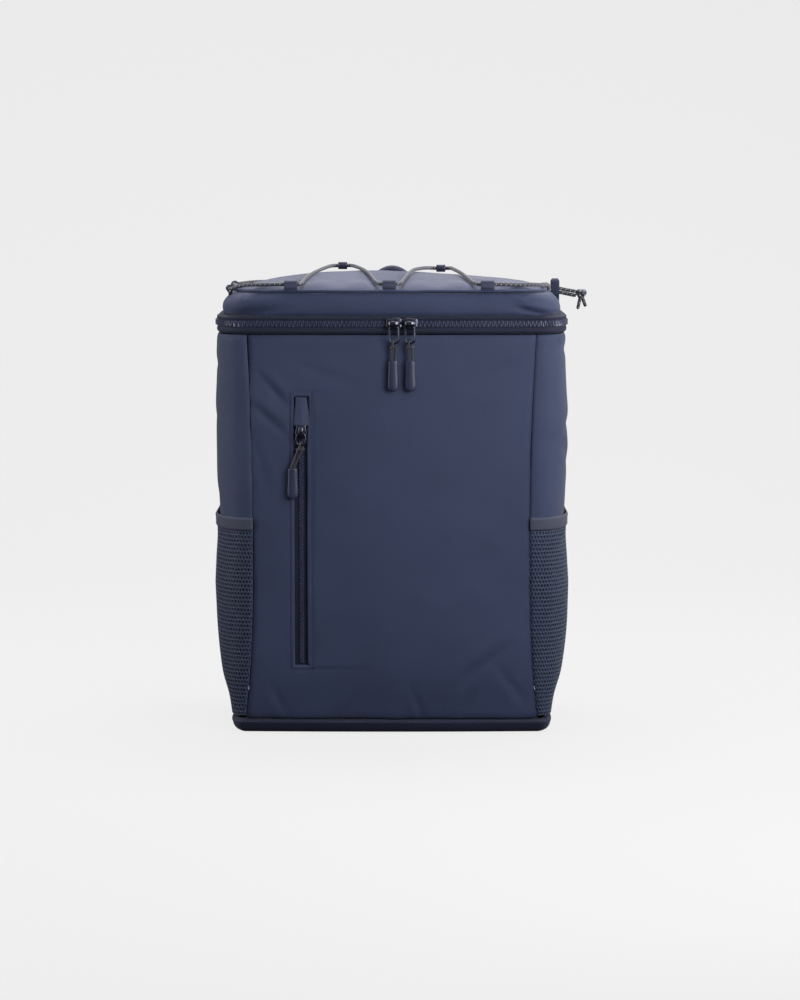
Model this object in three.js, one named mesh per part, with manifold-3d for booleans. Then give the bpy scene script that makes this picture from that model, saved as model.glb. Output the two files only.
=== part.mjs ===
// A soft cooler backpack: padded walls, a zipped lid with an elastic cord laced over it, a zipped front
// pocket, a mesh pocket on each side, and shoulder straps and a grab handle behind.
// Millimetres. +Z is up, -Y is the front, and the origin is the middle of the base's underside.

import * as THREE from "three";
import { mergeVertices } from "three/addons/utils/BufferGeometryUtils.js";
import Module from "manifold-3d";

const manifold = await Module();
manifold.setup();

// Clearance between neighbouring pieces.
const GAP = 0.3;

// Body: a padded tub of five panels.
const BODY_WIDTH = 304;
const BODY_DEPTH = 184;
const BODY_TOP = 342;
const BASE_HEIGHT = 15;
const BASE_FLOOR = 8;
const BASE_PROUD = 1;
const WALL = 6;
const BACK_WALL = 9;
const FRONT_BULGE = 6;
const BACK_CORNER = 32;
const CORNER_POWER = 2.4;

// Lid: a low wall with a crowned padded top.
const LID_BAND = 20;
const LID_HEIGHT = 20;
const LID_WALL = 5;
const LID_PAD = 6;
const LID_CROWN = 14;
const LID_CROWN_POWER = 2.5;
const LID_LIP = 1;
const LID_DIP_RAMP = 6;
const PIPING_RADIUS = 1.3;

// Zips. ZIP_LEVEL: the place of the chain as a share of LID_BAND.
const ZIP_LEVEL = 0.6;
const TAPE_THICK = 1.4;
const CHAIN_WIDTH = 6.2;
const CHAIN_THICK = 2.2;
const SLIDER_LENGTH = 13.3;
const SLIDER_WIDTH = 9.6;
const SLIDER_THICK = 2;
const SLIDER_PAIR_X = 8.9;
const SLIDER_LIFT = 0.6;
const BRIDGE_WIDTH = 3.4;
const BRIDGE_LENGTH = 7.5;
const BRIDGE_RISE = 3.4;
const BRIDGE_WALL = 1;
const RING_WIRE = 1.4;
const RING_WIDTH = 9.4;
const RING_HEIGHT = 16.6;
const PULL_CORD = 2;
const PULL_DROP = 14;
const PULL_WIDTH = 9.4;
const PULL_LENGTH = 26;
const PULL_THICK = 4.6;

// Front pocket zip.
const POCKET_ZIP_X = -77;
const POCKET_ZIP_WIDTH = 12;
const POCKET_ZIP_BOTTOM = 61;
const POCKET_ZIP_TOP = 292;
const POCKET_RECESS = 3.6;
const WELT_RADIUS = 1.3;
const WELT_EDGE = 0.4;
const GARAGE_LENGTH = 24;
const GARAGE_TOP_WIDTH = 9.4;
const GARAGE_MOUTH_WIDTH = 14.6;
const GARAGE_ARCH = 4.4;
const GARAGE_THICK = 1.2;
const POCKET_RING_HEIGHT = 12;
const POCKET_PULL_DROP = 19;
const POCKET_PULL_SWAY = -7;
const POCKET_SLIDER_DROP = 1;

// Mesh side pockets.
const POCKET_HEIGHT = 162;
const POCKET_STAND = 5.2;
const POCKET_FULLNESS = 1.5;
const MESH_THICK = 1;
const BINDING_HEIGHT = 11;
const BINDING_THICK = 2;

// Tabs of webbing that hold the elastic cord.
const TAB_WIDTH = 12;
const TAB_THICK = 1.4;
const CORD_DIAMETER = 3.2;
const TAB_CLEAR = 0.8;
const TAB_SEAT = 4.3;
const TAB_TAIL = 4.6;
const KNOT_RADIUS = 4.9;
const KNOT_WIDE = 1.08;
const KNOT_DEEP = 0.9;

// Straps and handle.
const STRAP_WIDTH = 62;
const STRAP_THICK = 13;
const WEBBING_WIDTH = 25;
const WEBBING_THICK = 2.4;
const BUCKLE_WIDTH = 34;
const BUCKLE_HEIGHT = 26;
const BUCKLE_THICK = 4;
const BUCKLE_CORNER = 3;
const SLOT_WIDTH = 28;
const SLOT_HEIGHT = 6.5;
const SLOT_OFFSET = 5.5;
const SLOT_CORNER = 1;
const ANCHOR_SIZE = 34;
const STRAP_REACH = 42;
const WEBBING_SAG = 4;
const WEBBING_START = 0.9;
const WEBBING_SEWN = 11.3;
const ANCHOR_THICK = 3;
const ANCHOR_CORNER = 3;
const HANDLE_WIDTH = 24;
const HANDLE_GRIP = 11;
const HANDLE_SPAN = 50;
const HANDLE_LEG = 34;
const HANDLE_RISE = 36;

// Facets.
const FRONT_STEPS = 14;
const CORNER_STEPS = 6;
const SIDE_STEPS = 3;
const BACK_CORNER_STEPS = 3;
const BACK_STEPS = 6;
const WALL_ROWS = 14;
const CORD_SIDES = 8;
const THIN_SIDES = 6;
const PIPING_SIDES = 4;
const ZIP_ROWS = 8;

// Body sections from the base seam to the top seam. rise: share of the wall height. width: half-width as a
// share of half BODY_WIDTH. seam: place of the front seam as a share of that half-width. front and back:
// reach of the front seam and the back as shares of half BODY_DEPTH. corner: depth of the front corner as a
// share of BODY_DEPTH. bulge: share of FRONT_BULGE.
const BODY_SECTIONS = [
  { rise: 0.0, width: 0.907, seam: 0.914, front: 0.85, back: 0.93, corner: 0.14, bulge: 0.45 },
  { rise: 0.05, width: 0.923, seam: 0.885, front: 0.875, back: 0.95, corner: 0.17, bulge: 0.6 },
  { rise: 0.11, width: 0.957, seam: 0.84, front: 0.897, back: 0.97, corner: 0.21, bulge: 0.75 },
  { rise: 0.2, width: 0.975, seam: 0.812, front: 0.916, back: 0.985, corner: 0.26, bulge: 0.9 },
  { rise: 0.31, width: 0.977, seam: 0.802, front: 0.929, back: 0.995, corner: 0.29, bulge: 1.0 },
  { rise: 0.45, width: 0.977, seam: 0.798, front: 0.935, back: 1.0, corner: 0.31, bulge: 1.0 },
  { rise: 0.56, width: 0.988, seam: 0.79, front: 0.935, back: 1.0, corner: 0.31, bulge: 1.0 },
  { rise: 0.7, width: 1.0, seam: 0.785, front: 0.935, back: 1.0, corner: 0.3, bulge: 1.0 },
  { rise: 0.84, width: 0.997, seam: 0.797, front: 0.925, back: 0.995, corner: 0.29, bulge: 0.9 },
  { rise: 0.92, width: 0.987, seam: 0.812, front: 0.915, back: 0.99, corner: 0.28, bulge: 0.8 },
  { rise: 1.0, width: 0.98, seam: 0.827, front: 0.905, back: 0.985, corner: 0.27, bulge: 0.7 },
];

// Lid wall sections, as shares of LID_HEIGHT and of the body's top outline.
const LID_SECTIONS = [
  { rise: 0.0, width: 0.972, depth: 0.985 },
  { rise: 0.5, width: 0.955, depth: 0.975 },
  { rise: 0.82, width: 0.922, depth: 0.96 },
  { rise: 1.0, width: 0.884, depth: 0.94 },
];

// Shares of the lid's outline at which the crown is measured, from its edge to its middle.
const CROWN_RINGS = [1, 0.94, 0.84, 0.7, 0.52, 0.3];
const UNDER_RINGS = [1, 0.94, 0.84, 0.5];

// Creases of the padded cloth. side: -1 left, 1 right, 0 the front. across: place as a share of half
// BODY_WIDTH on the front, or of half BODY_DEPTH on a side. rise: share of the wall height. turn: degrees
// from level. long and wide: reach as shares of BODY_WIDTH. deep: share of WALL.
const CREASES = [
  { side: 0, across: -0.66, rise: 0.865, turn: -50, long: 0.07, wide: 0.03, deep: 0.3 },
  { side: 0, across: -0.68, rise: 0.79, turn: -42, long: 0.08, wide: 0.03, deep: 0.33 },
  { side: 0, across: -0.6, rise: 0.66, turn: -80, long: 0.12, wide: 0.03, deep: 0.2 },
  { side: 0, across: 0.2, rise: 0.04, turn: 20, long: 0.12, wide: 0.025, deep: 0.25 },
  { side: 0, across: -0.24, rise: 0.03, turn: -10, long: 0.08, wide: 0.025, deep: 0.25 },
  { side: -1, across: -0.35, rise: 0.56, turn: 60, long: 0.09, wide: 0.035, deep: 0.5 },
  { side: -1, across: -0.1, rise: 0.95, turn: 10, long: 0.15, wide: 0.03, deep: 0.4 },
  { side: 1, across: -0.2, rise: 0.77, turn: 15, long: 0.16, wide: 0.035, deep: 0.5 },
  { side: 1, across: 0.1, rise: 0.96, turn: -8, long: 0.2, wide: 0.03, deep: 0.5 },
];

// Dips of the lid's crown. across and back: place as shares of half BODY_WIDTH and half BODY_DEPTH.
// wide and long: reach as the same shares. deep: share of LID_CROWN.
const LID_DIPS = [
  { across: 0.42, back: 0.2, wide: 0.3, long: 0.7, deep: 0.2 },
  { across: -0.01, back: -0.75, wide: 0.12, long: 0.45, deep: 0.22 },
  { across: -0.56, back: -0.75, wide: 0.12, long: 0.35, deep: 0.14 },
  { across: 0.55, back: -0.75, wide: 0.12, long: 0.35, deep: 0.14 },
];

// One leg of a pull's cord, from the pull end up to the ring. down: share of the drop. out: share of the way
// to the ring's face. PULL_BIGHT: how far apart the legs are where they turn round the ring.
const PULL_LEG = [
  { down: 1, out: 0 },
  { down: 0.6, out: 0 },
  { down: 0.25, out: 0.8 },
];
const PULL_BIGHT = 0.6;

// How far the mesh stands off the side, up the pocket, as shares of POCKET_HEIGHT and POCKET_STAND.
const POCKET_SECTIONS = [
  { rise: 0.0, stand: 0.1 },
  { rise: 0.12, stand: 0.42 },
  { rise: 0.3, stand: 0.75 },
  { rise: 0.5, stand: 0.98 },
  { rise: 0.7, stand: 1.0 },
  { rise: 0.85, stand: 0.72 },
  { rise: 1.0, stand: 0.36 },
];

// Path of a shoulder strap, from its seam at the top. across: share of half BODY_WIDTH. rise: share of
// BODY_TOP. behind: share of STRAP_REACH. width and thick: shares of STRAP_WIDTH and STRAP_THICK.
const STRAP_SECTIONS = [
  { across: 0.33, rise: 0.9, behind: 0.0, width: 1.0, thick: 0.6 },
  { across: 0.33, rise: 0.945, behind: 0.1, width: 1.0, thick: 0.8 },
  { across: 0.335, rise: 0.965, behind: 0.34, width: 1.02, thick: 1.0 },
  { across: 0.35, rise: 0.94, behind: 0.6, width: 1.03, thick: 1.0 },
  { across: 0.375, rise: 0.885, behind: 0.8, width: 1.04, thick: 1.0 },
  { across: 0.41, rise: 0.8, behind: 0.94, width: 1.04, thick: 1.0 },
  { across: 0.455, rise: 0.69, behind: 1.0, width: 1.02, thick: 1.0 },
  { across: 0.5, rise: 0.57, behind: 0.96, width: 0.98, thick: 1.0 },
  { across: 0.535, rise: 0.46, behind: 0.84, width: 0.9, thick: 0.95 },
  { across: 0.555, rise: 0.385, behind: 0.7, width: 0.76, thick: 0.8 },
  { across: 0.563, rise: 0.35, behind: 0.62, width: 0.56, thick: 0.6 },
];

// The right half of the grab handle, from its foot to its top. across: share of half HANDLE_SPAN. rise: share
// of the way up. wide and deep: shares of HANDLE_WIDTH and HANDLE_GRIP.
const HANDLE_SECTIONS = [
  { across: 1.0, rise: 0.0, wide: 1.0, deep: 0.25 },
  { across: 1.0, rise: 0.4, wide: 0.95, deep: 0.3 },
  { across: 0.95, rise: 0.56, wide: 0.7, deep: 0.6 },
  { across: 0.8, rise: 0.71, wide: 0.46, deep: 0.95 },
  { across: 0.52, rise: 0.84, wide: 0.38, deep: 1.0 },
  { across: 0.27, rise: 0.91, wide: 0.36, deep: 1.0 },
  { across: 0.0, rise: 0.935, wide: 0.36, deep: 1.0 },
];

// Where the lower webbing of the right strap is sewn to the back: across as a share of half BODY_WIDTH, and
// its height.
const ANCHOR_ACROSS = 0.59;
const ANCHOR_Z = 46;

// Webbing tabs that hold the cord on the lid. across and back: place as shares of the lid's half-width and
// half-depth. lift: how far the eye is above the lowest that clears the lid, in millimetres. turn: of the
// eye's axis from X about Z, and lean: of the tail from straight down, both in degrees.
const LID_TABS = [
  { name: "cord_tab_front_left", across: -0.65, back: -0.942, lift: 0, turn: 0, lean: 60 },
  { name: "cord_tab_front_middle", across: -0.015, back: -0.942, lift: 0, turn: 0, lean: 60 },
  { name: "cord_tab_front_right", across: 0.62, back: -0.942, lift: 0, turn: 0, lean: 60 },
  { name: "cord_tab_top_left", across: -0.33, back: 0.3, lift: 0.3, turn: 0, lean: -60 },
  { name: "cord_tab_top_right", across: 0.33, back: 0.42, lift: 0.3, turn: 0, lean: -60 },
];

// Webbing tabs that hold the cord beside the lid's edge. across, back, turn and lean as above.
const EDGE_TABS = [
  { name: "cord_tab_corner_left", across: -1.0563, back: -0.605, turn: -82, lean: -5 },
  { name: "cord_tab_back_left", across: -1.0632, back: 0.5198, turn: -90, lean: -5 },
  { name: "cord_tab_back_right", across: 0.6835, back: 1.099, turn: 180, lean: -5 },
];
const EDGE_TAB_RISE = 0.6;

// The tall tab at the right rear corner, beside the lid, and the knot past it.
const SIDE_TAB_X = 146.5;
const SIDE_TAB_Y = 72;
const SIDE_TAB_WIDTH = 8;
const SIDE_TAB_RISE = 25;
const SIDE_TAB_EYE = 13.6;
const KNOT_AT = [170.2, 73.5, 373.2];
const KNOT_TAILS = [
  [-2.8, -1.5, -12.5],
  [3.7, 0.5, -10.4],
];

// Route of the elastic cord's middle, chosen by hand: out of the knot, through the tall tab, along the right
// edge, over the lid through the front and top tabs, round the left edge and the back, and to the knot.
const CORD_ROUTE = [
  [164.3, 73.2, 371.6],
  [157, 72.6, 373.1],
  [151, 72, 374.3],
  [146.5, 72, 374.4],
  [141.2, 72, 374.5],
  [139.9, 69.3, 375],
  [140.4, 62, 376.1],
  [140.6, 52, 377.6],
  [139.4, 38, 379],
  [138.2, 15, 380.6],
  [137.2, -8, 382.4],
  [135.8, -22, 384.6],
  [133.6, -36, 385.8],
  [131, -45, 386.1],
  [127.5, -55, 386],
  [121, -65.5, 386.4],
  [110, -72.6, 386.6],
  [98, -76.4, 386.9],
  [89.1, -77.4, 387.2],
  [81.6, -77.4, 387.2],
  [74.1, -77.4, 387.3],
  [70.3, -73.5, 388.2],
  [66.5, -62, 390.9],
  [61.5, -42, 394.4],
  [57, -20, 396.6],
  [54, 5, 397.4],
  [52.9, 22, 397.6],
  [52.6, 31, 397.4],
  [50.9, 36.6, 397.2],
  [43.4, 36.6, 397.2],
  [36, 36.6, 397.3],
  [33.2, 30.5, 397.6],
  [30, 15, 398.1],
  [25, -2, 398.2],
  [18.5, -26, 397.4],
  [13.5, -48, 394],
  [9.6, -66, 389.8],
  [8, -73.4, 388.1],
  [5.5, -77.4, 387.5],
  [-2, -77.4, 387.5],
  [-9.5, -77.4, 387.5],
  [-12.4, -73, 388.3],
  [-16, -58, 391.6],
  [-20.5, -38, 395.6],
  [-27, -8, 398.4],
  [-32.5, 12, 399.7],
  [-34.6, 21, 399.9],
  [-36, 26.6, 399.9],
  [-43.4, 26.6, 399.9],
  [-50.9, 26.6, 399.8],
  [-54, 19.5, 399.6],
  [-57.5, 4, 398.9],
  [-63, -17, 397.2],
  [-71, -45, 393.6],
  [-75, -62, 390.3],
  [-76.4, -72, 388.1],
  [-78.1, -77.4, 387.3],
  [-85.6, -77.4, 387.2],
  [-93.1, -77.4, 387.2],
  [-104, -76.2, 386.9],
  [-113.5, -72.6, 386.7],
  [-121, -68.2, 386.4],
  [-127.5, -64.5, 385.7],
  [-132.8, -61, 384.3],
  [-138.1, -56.6, 382.6],
  [-139.1, -49.2, 382.6],
  [-140.1, -41.8, 382.6],
  [-138, -33, 382.3],
  [-136.6, -20, 382],
  [-136.5, 0, 382],
  [-136.8, 20, 382.1],
  [-138.6, 31, 382.4],
  [-140, 37.5, 382.6],
  [-140, 45, 382.6],
  [-140, 52.5, 382.6],
  [-137.6, 61, 382.6],
  [-133.5, 69.5, 382.8],
  [-127.2, 81, 383.2],
  [-115.2, 89, 383.4],
  [-101, 90, 383.3],
  [-60, 90, 383.4],
  [0, 90, 383.4],
  [60, 90, 383.3],
  [72, 91, 383],
  [82.5, 93.5, 382.6],
  [90, 93.5, 382.6],
  [97.5, 93.5, 382.6],
  [106, 91.6, 382.3],
  [114.5, 88.4, 381.9],
  [122.5, 83.6, 381.3],
  [129.5, 78.6, 380.5],
  [135, 75, 379.5],
  [139.2, 72.7, 378.6],
  [142.5, 72, 378.2],
  [146.5, 72, 378.1],
  [151, 72, 377.8],
  [157, 72.2, 376.6],
  [164.3, 72.6, 375.3],
];

// The value of a table's column at a rise, on a smooth curve through its rows.
function read(table, column, rise) {
  const last = table.length - 1;
  let i = 0;
  while (i < last - 1 && rise > table[i + 1].rise) i += 1;
  const [a, b] = [table[i], table[i + 1]];
  const before = table[Math.max(i - 1, 0)];
  const after = table[Math.min(i + 2, last)];
  const span = b.rise - a.rise;
  const t = (rise - a.rise) / span;
  const slopeA = ((b[column] - before[column]) / (b.rise - before.rise)) * span;
  const slopeB = ((after[column] - a[column]) / (after.rise - a.rise)) * span;
  return (
    (2 * t ** 3 - 3 * t ** 2 + 1) * a[column] +
    (t ** 3 - 2 * t ** 2 + t) * slopeA +
    (3 * t ** 2 - 2 * t ** 3) * b[column] +
    (t ** 3 - t ** 2) * slopeB
  );
}

// A geometry made of triangles of points, turned to face outwards.
function solid(triangles) {
  const volume = triangles.reduce((sum, [a, b, c]) => sum + a.dot(b.clone().cross(c)), 0);
  const numbers = [];
  for (const [a, b, c] of triangles)
    for (const p of volume > 0 ? [a, b, c] : [a, c, b]) numbers.push(p.x, p.y, p.z);
  const geometry = new THREE.BufferGeometry();
  geometry.setAttribute("position", new THREE.Float32BufferAttribute(numbers, 3));
  const merged = mergeVertices(geometry, 1e-4);
  merged.computeVertexNormals();
  return merged;
}

function quad(triangles, a, b, c, d) {
  triangles.push([a, b, c], [a, c, d]);
}

// A wall between two grids of points, each a list of rows. around: its rows close on themselves.
function wall(outer, inner, around = false) {
  const triangles = [];
  const top = outer.length - 1;
  const columns = outer[0].length;
  const steps = around ? columns : columns - 1;
  for (let c = 0; c < steps; c += 1) {
    const d = (c + 1) % columns;
    for (let r = 0; r < top; r += 1) {
      quad(triangles, outer[r][c], outer[r][d], outer[r + 1][d], outer[r + 1][c]);
      quad(triangles, inner[r][c], inner[r + 1][c], inner[r + 1][d], inner[r][d]);
    }
    quad(triangles, inner[0][c], inner[0][d], outer[0][d], outer[0][c]);
    quad(triangles, outer[top][c], outer[top][d], inner[top][d], inner[top][c]);
  }
  for (let r = 0; !around && r < top; r += 1) {
    quad(triangles, outer[r][0], outer[r + 1][0], inner[r + 1][0], inner[r][0]);
    quad(triangles, outer[r][steps], inner[r][steps], inner[r + 1][steps], outer[r + 1][steps]);
  }
  return solid(triangles);
}

// A solid through closed rings of points. tips: the two points that its end rings close on, or none where the
// last ring joins the first.
function loft(rings, tips) {
  const triangles = [];
  const count = rings[0].length;
  const bands = tips ? rings.length - 1 : rings.length;
  for (let c = 0; c < count; c += 1) {
    const d = (c + 1) % count;
    for (let r = 0; r < bands; r += 1) {
      const [low, high] = [rings[r], rings[(r + 1) % rings.length]];
      quad(triangles, low[c], low[d], high[d], high[c]);
    }
    if (tips) {
      triangles.push([tips[0], rings[0][d], rings[0][c]]);
      triangles.push([tips[1], rings[bands][c], rings[bands][d]]);
    }
  }
  return solid(triangles);
}

const middleOf = (ring) =>
  ring.reduce((sum, p) => sum.add(p), new THREE.Vector3()).divideScalar(ring.length);

const capped = (rings) => loft(rings, [middleOf(rings[0]), middleOf(rings[rings.length - 1])]);

function toManifold(geometry) {
  const plain = geometry.clone();
  for (const name of Object.keys(plain.attributes)) if (name !== "position") plain.deleteAttribute(name);
  const merged = mergeVertices(plain, 1e-4);
  return new manifold.Manifold(
    new manifold.Mesh({
      numProp: 3,
      vertProperties: new Float32Array(merged.attributes.position.array),
      triVerts: new Uint32Array(merged.index.array),
    }),
  );
}

function fromManifold(made) {
  const mesh = made.getMesh();
  const geometry = new THREE.BufferGeometry();
  geometry.setAttribute("position", new THREE.BufferAttribute(mesh.vertProperties, mesh.numProp));
  geometry.setIndex(new THREE.BufferAttribute(mesh.triVerts, 1));
  geometry.computeVertexNormals();
  return geometry;
}

// Around the body, an outline runs from the left front seam along the front, the right side, the back and
// the left side. Each stretch goes from one index to another.
const GUSSET_STEPS = CORNER_STEPS + SIDE_STEPS + BACK_CORNER_STEPS;
const RIGHT_START = FRONT_STEPS;
const BACK_START = RIGHT_START + GUSSET_STEPS;
const LEFT_START = BACK_START + BACK_STEPS;
const AROUND = LEFT_START + GUSSET_STEPS;
const STRETCHES = {
  front: [0, RIGHT_START],
  right: [RIGHT_START, BACK_START],
  back: [BACK_START, LEFT_START],
  left: [LEFT_START, AROUND],
};

const heightAt = (rise) => BASE_HEIGHT + rise * (BODY_TOP - BASE_HEIGHT);
const riseAt = (z) => (z - BASE_HEIGHT) / (BODY_TOP - BASE_HEIGHT);

function bodySection(rise) {
  const half = (read(BODY_SECTIONS, "width", rise) * BODY_WIDTH) / 2;
  return {
    half,
    seam: read(BODY_SECTIONS, "seam", rise) * half,
    front: (-read(BODY_SECTIONS, "front", rise) * BODY_DEPTH) / 2,
    back: (read(BODY_SECTIONS, "back", rise) * BODY_DEPTH) / 2,
    corner: read(BODY_SECTIONS, "corner", rise) * BODY_DEPTH,
    bulge: read(BODY_SECTIONS, "bulge", rise) * FRONT_BULGE,
  };
}

// The front panel's depth at a place, before its creases.
function frontY(x, z) {
  const { seam, front, bulge } = bodySection(riseAt(z));
  return front - bulge * (1 - (x / seam) ** 2);
}

// The right gusset's outline: round the front corner, along the side and round the back corner.
function gussetOutline({ half, seam, front, back, corner }) {
  const points = [];
  const sideStart = front + corner;
  const sideEnd = back - BACK_CORNER;
  for (let i = 0; i < CORNER_STEPS; i += 1) {
    const turn = (i / CORNER_STEPS) * (Math.PI / 2);
    points.push([
      seam + (half - seam) * Math.sin(turn) ** (2 / CORNER_POWER),
      front + corner * (1 - Math.cos(turn) ** (2 / CORNER_POWER)),
    ]);
  }
  for (let i = 0; i < SIDE_STEPS; i += 1)
    points.push([half, sideStart + (i / SIDE_STEPS) * (sideEnd - sideStart)]);
  for (let i = 0; i <= BACK_CORNER_STEPS; i += 1) {
    const turn = (i / BACK_CORNER_STEPS) * (Math.PI / 2);
    points.push([
      half - BACK_CORNER * (1 - Math.cos(turn)),
      sideEnd + BACK_CORNER * Math.sin(turn),
    ]);
  }
  return points;
}

function outline(rise) {
  const section = bodySection(rise);
  const right = gussetOutline(section);
  const backReach = section.half - BACK_CORNER;
  const points = [];
  for (let i = 0; i < FRONT_STEPS; i += 1) {
    const share = (2 * i) / FRONT_STEPS - 1;
    points.push([share * section.seam, section.front - section.bulge * (1 - share ** 2)]);
  }
  points.push(...right.slice(0, -1));
  for (let i = 0; i < BACK_STEPS; i += 1)
    points.push([backReach * (1 - (2 * i) / BACK_STEPS), section.back]);
  points.push(...right.slice(1).reverse().map(([x, y]) => [-x, y]));
  return points;
}

// An outline moved inwards by a depth, or by one depth for each point.
function inset(points, depth) {
  const count = points.length;
  return points.map(([x, y], i) => {
    const [ax, ay] = points[(i + count - 1) % count];
    const [bx, by] = points[(i + 1) % count];
    const length = Math.hypot(bx - ax, by - ay);
    const d = Array.isArray(depth) ? depth[i] : depth;
    return [x - ((by - ay) / length) * d, y + ((bx - ax) / length) * d];
  });
}

const raise = (points, z) => points.map(([x, y]) => new THREE.Vector3(x, y, z));

// How deep the creases press the cloth at a point of the outline, in millimetres.
function creaseAt([x, y], rise, index) {
  const side = index < RIGHT_START ? 0 : index < BACK_START ? 1 : index > LEFT_START ? -1 : 2;
  let depth = 0;
  for (const crease of CREASES.filter((row) => row.side === side)) {
    const along = side === 0 ? x - (crease.across * BODY_WIDTH) / 2 : y - (crease.across * BODY_DEPTH) / 2;
    const up = heightAt(rise) - heightAt(crease.rise);
    const turn = THREE.MathUtils.degToRad(crease.turn);
    const run = along * Math.cos(turn) + up * Math.sin(turn);
    const off = up * Math.cos(turn) - along * Math.sin(turn);
    const fall = (run / (crease.long * BODY_WIDTH)) ** 2 + (off / (crease.wide * BODY_WIDTH)) ** 2;
    depth += crease.deep * WALL * Math.exp(-fall);
  }
  return depth;
}

// A ring round the body at a rise, a depth below the cloth's face.
function bodyRing(rise, depth, creased = false) {
  const points = outline(rise);
  const depths = points.map((p, i) => depth + (creased ? creaseAt(p, rise, i) : 0));
  return raise(inset(points, depths), heightAt(rise));
}

// One stretch of a ring, with half a gap taken off each end.
function stretchOf(ring, name) {
  const [from, to] = STRETCHES[name];
  const points = [];
  for (let i = from; i <= to; i += 1) points.push(ring[i % AROUND].clone());
  const last = points.length - 1;
  for (const [end, next] of [
    [points[0], points[1]],
    [points[last], points[last - 1]],
  ])
    end.lerp(next, GAP / 2 / end.distanceTo(next));
  return points;
}

const WALL_RISES = Array.from({ length: WALL_ROWS + 1 }, (_, i) => i / WALL_ROWS);

function bodyPanel(name, thick) {
  return wall(
    WALL_RISES.map((rise) => stretchOf(bodyRing(rise, 0, true), name)),
    WALL_RISES.map((rise) => stretchOf(bodyRing(rise, thick), name)),
  );
}

// A patch laid along the front panel. rows: its height, middle and half-width at each row. The two depths are
// functions of the share across, -1 to 1, and of the row, and run from the panel's face inwards.
function frontPatch(rows, columns, outerDepth, innerDepth) {
  const grid = (depth) =>
    rows.map((row) =>
      Array.from({ length: columns + 1 }, (_, i) => {
        const share = (2 * i) / columns - 1;
        const x = row.x + share * row.half;
        return new THREE.Vector3(x, frontY(x, row.z) + depth(share, row), row.z);
      }),
    );
  return wall(grid(outerDepth), grid(innerDepth));
}

// Evenly spaced rows of a patch along the pocket zip.
const pocketRows = (from, to, count, half, x = POCKET_ZIP_X) =>
  Array.from({ length: count + 1 }, (_, i) => ({ x, half, z: from + ((to - from) * i) / count }));

// A smooth route whose steps fall on its own points, so that they are close together at its bends.
class Route extends THREE.CatmullRomCurve3 {
  getUtoTmapping(share) {
    return share;
  }
}

// A many-sided section swept along a route, with a number of steps between its points.
function tube(points, radius, stepsBetween, sides = CORD_SIDES) {
  const section = Array.from({ length: sides }, (_, i) => {
    const turn = (2 * Math.PI * i) / sides;
    return new THREE.Vector2(radius * Math.cos(turn), radius * Math.sin(turn));
  });
  const path = new Route(points.map((p) => new THREE.Vector3(...p)), false, "centripetal");
  const steps = (points.length - 1) * stepsBetween;
  return new THREE.ExtrudeGeometry(new THREE.Shape(section), { steps, extrudePath: path });
}

// A strip with rounded edges through a list of sections, each with its middle, the direction across it, its
// width and its thickness.
const STRIP_SECTION = [
  [1, 0.45],
  [0.82, 1],
  [-0.82, 1],
  [-1, 0.45],
  [-1, -0.45],
  [-0.82, -1],
  [0.82, -1],
  [1, -0.45],
];

function strip(sections) {
  const rings = sections.map(({ at, across, width, thick }, i) => {
    const before = sections[Math.max(i - 1, 0)].at;
    const after = sections[Math.min(i + 1, sections.length - 1)].at;
    const along = after.clone().sub(before).normalize();
    const wide = across.clone().addScaledVector(along, -across.dot(along)).normalize();
    const out = along.clone().cross(wide);
    return STRIP_SECTION.map(([u, v]) =>
      at
        .clone()
        .addScaledVector(wide, (u * width) / 2)
        .addScaledVector(out, (v * thick) / 2),
    );
  });
  return capped(rings);
}

// A rectangle with round corners, about a middle.
function roundedPoints(width, height, radius, middleY = 0) {
  const [x, y] = [width / 2 - radius, height / 2 - radius];
  const corners = [
    [x, -y, -90],
    [x, y, 0],
    [-x, y, 90],
    [-x, -y, 180],
  ];
  return corners.flatMap(([cx, cy, start]) =>
    [start, start + 45, start + 90].map((turn) => {
      const angle = THREE.MathUtils.degToRad(turn);
      return new THREE.Vector2(cx + radius * Math.cos(angle), middleY + cy + radius * Math.sin(angle));
    }),
  );
}

const TO_FRONT = new THREE.Matrix4().makeBasis(
  new THREE.Vector3(1, 0, 0),
  new THREE.Vector3(0, 0, 1),
  new THREE.Vector3(0, -1, 0),
);

// A flat plate with holes, its back on the plane y = 0 and its face to the front.
function plate(outer, thick, holes = []) {
  const shape = new THREE.Shape(outer);
  for (const hole of holes) shape.holes.push(new THREE.Path(hole));
  return new THREE.ExtrudeGeometry(shape, { depth: thick, bevelEnabled: false }).applyMatrix4(TO_FRONT);
}

// Finishes.
const finish = (color, roughness, metalness = 0) =>
  new THREE.MeshStandardMaterial({ color, roughness, metalness, flatShading: true });
const shellCloth = finish(0x3a4056, 0.78);
const baseCloth = finish(0x2a2d42, 0.85);
const lidCloth = finish(0x4a5068, 0.72);
const tapeCloth = finish(0x202438, 0.8);
const chainPlastic = finish(0x262a3e, 0.45);
const meshNet = finish(0x2d3242, 0.8);
const elastic = finish(0x42465c, 0.75);
const webbing = finish(0x474b60, 0.7);
const sliderMetal = finish(0x55575f, 0.3, 1);
const ringMetal = finish(0x9a9ca2, 0.25, 1);
const cordBraid = finish(0x7c7b82, 0.75);
const pullRubber = finish(0x343850, 0.55);
const bucklePlastic = finish(0x23263a, 0.45);

const backpack = new THREE.Group();

function add(name, geometry, material, parent = backpack) {
  const mesh = new THREE.Mesh(geometry, material);
  mesh.name = name;
  parent.add(mesh);
  return mesh;
}

// The tub: base, front panel with its zip recess, gussets and back.
const BASE_ROWS = [
  { z: 0, depth: 9 },
  { z: 1.6, depth: 3.4 },
  { z: 5, depth: 0.4 },
  { z: BASE_HEIGHT - GAP, depth: -BASE_PROUD },
];

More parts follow.
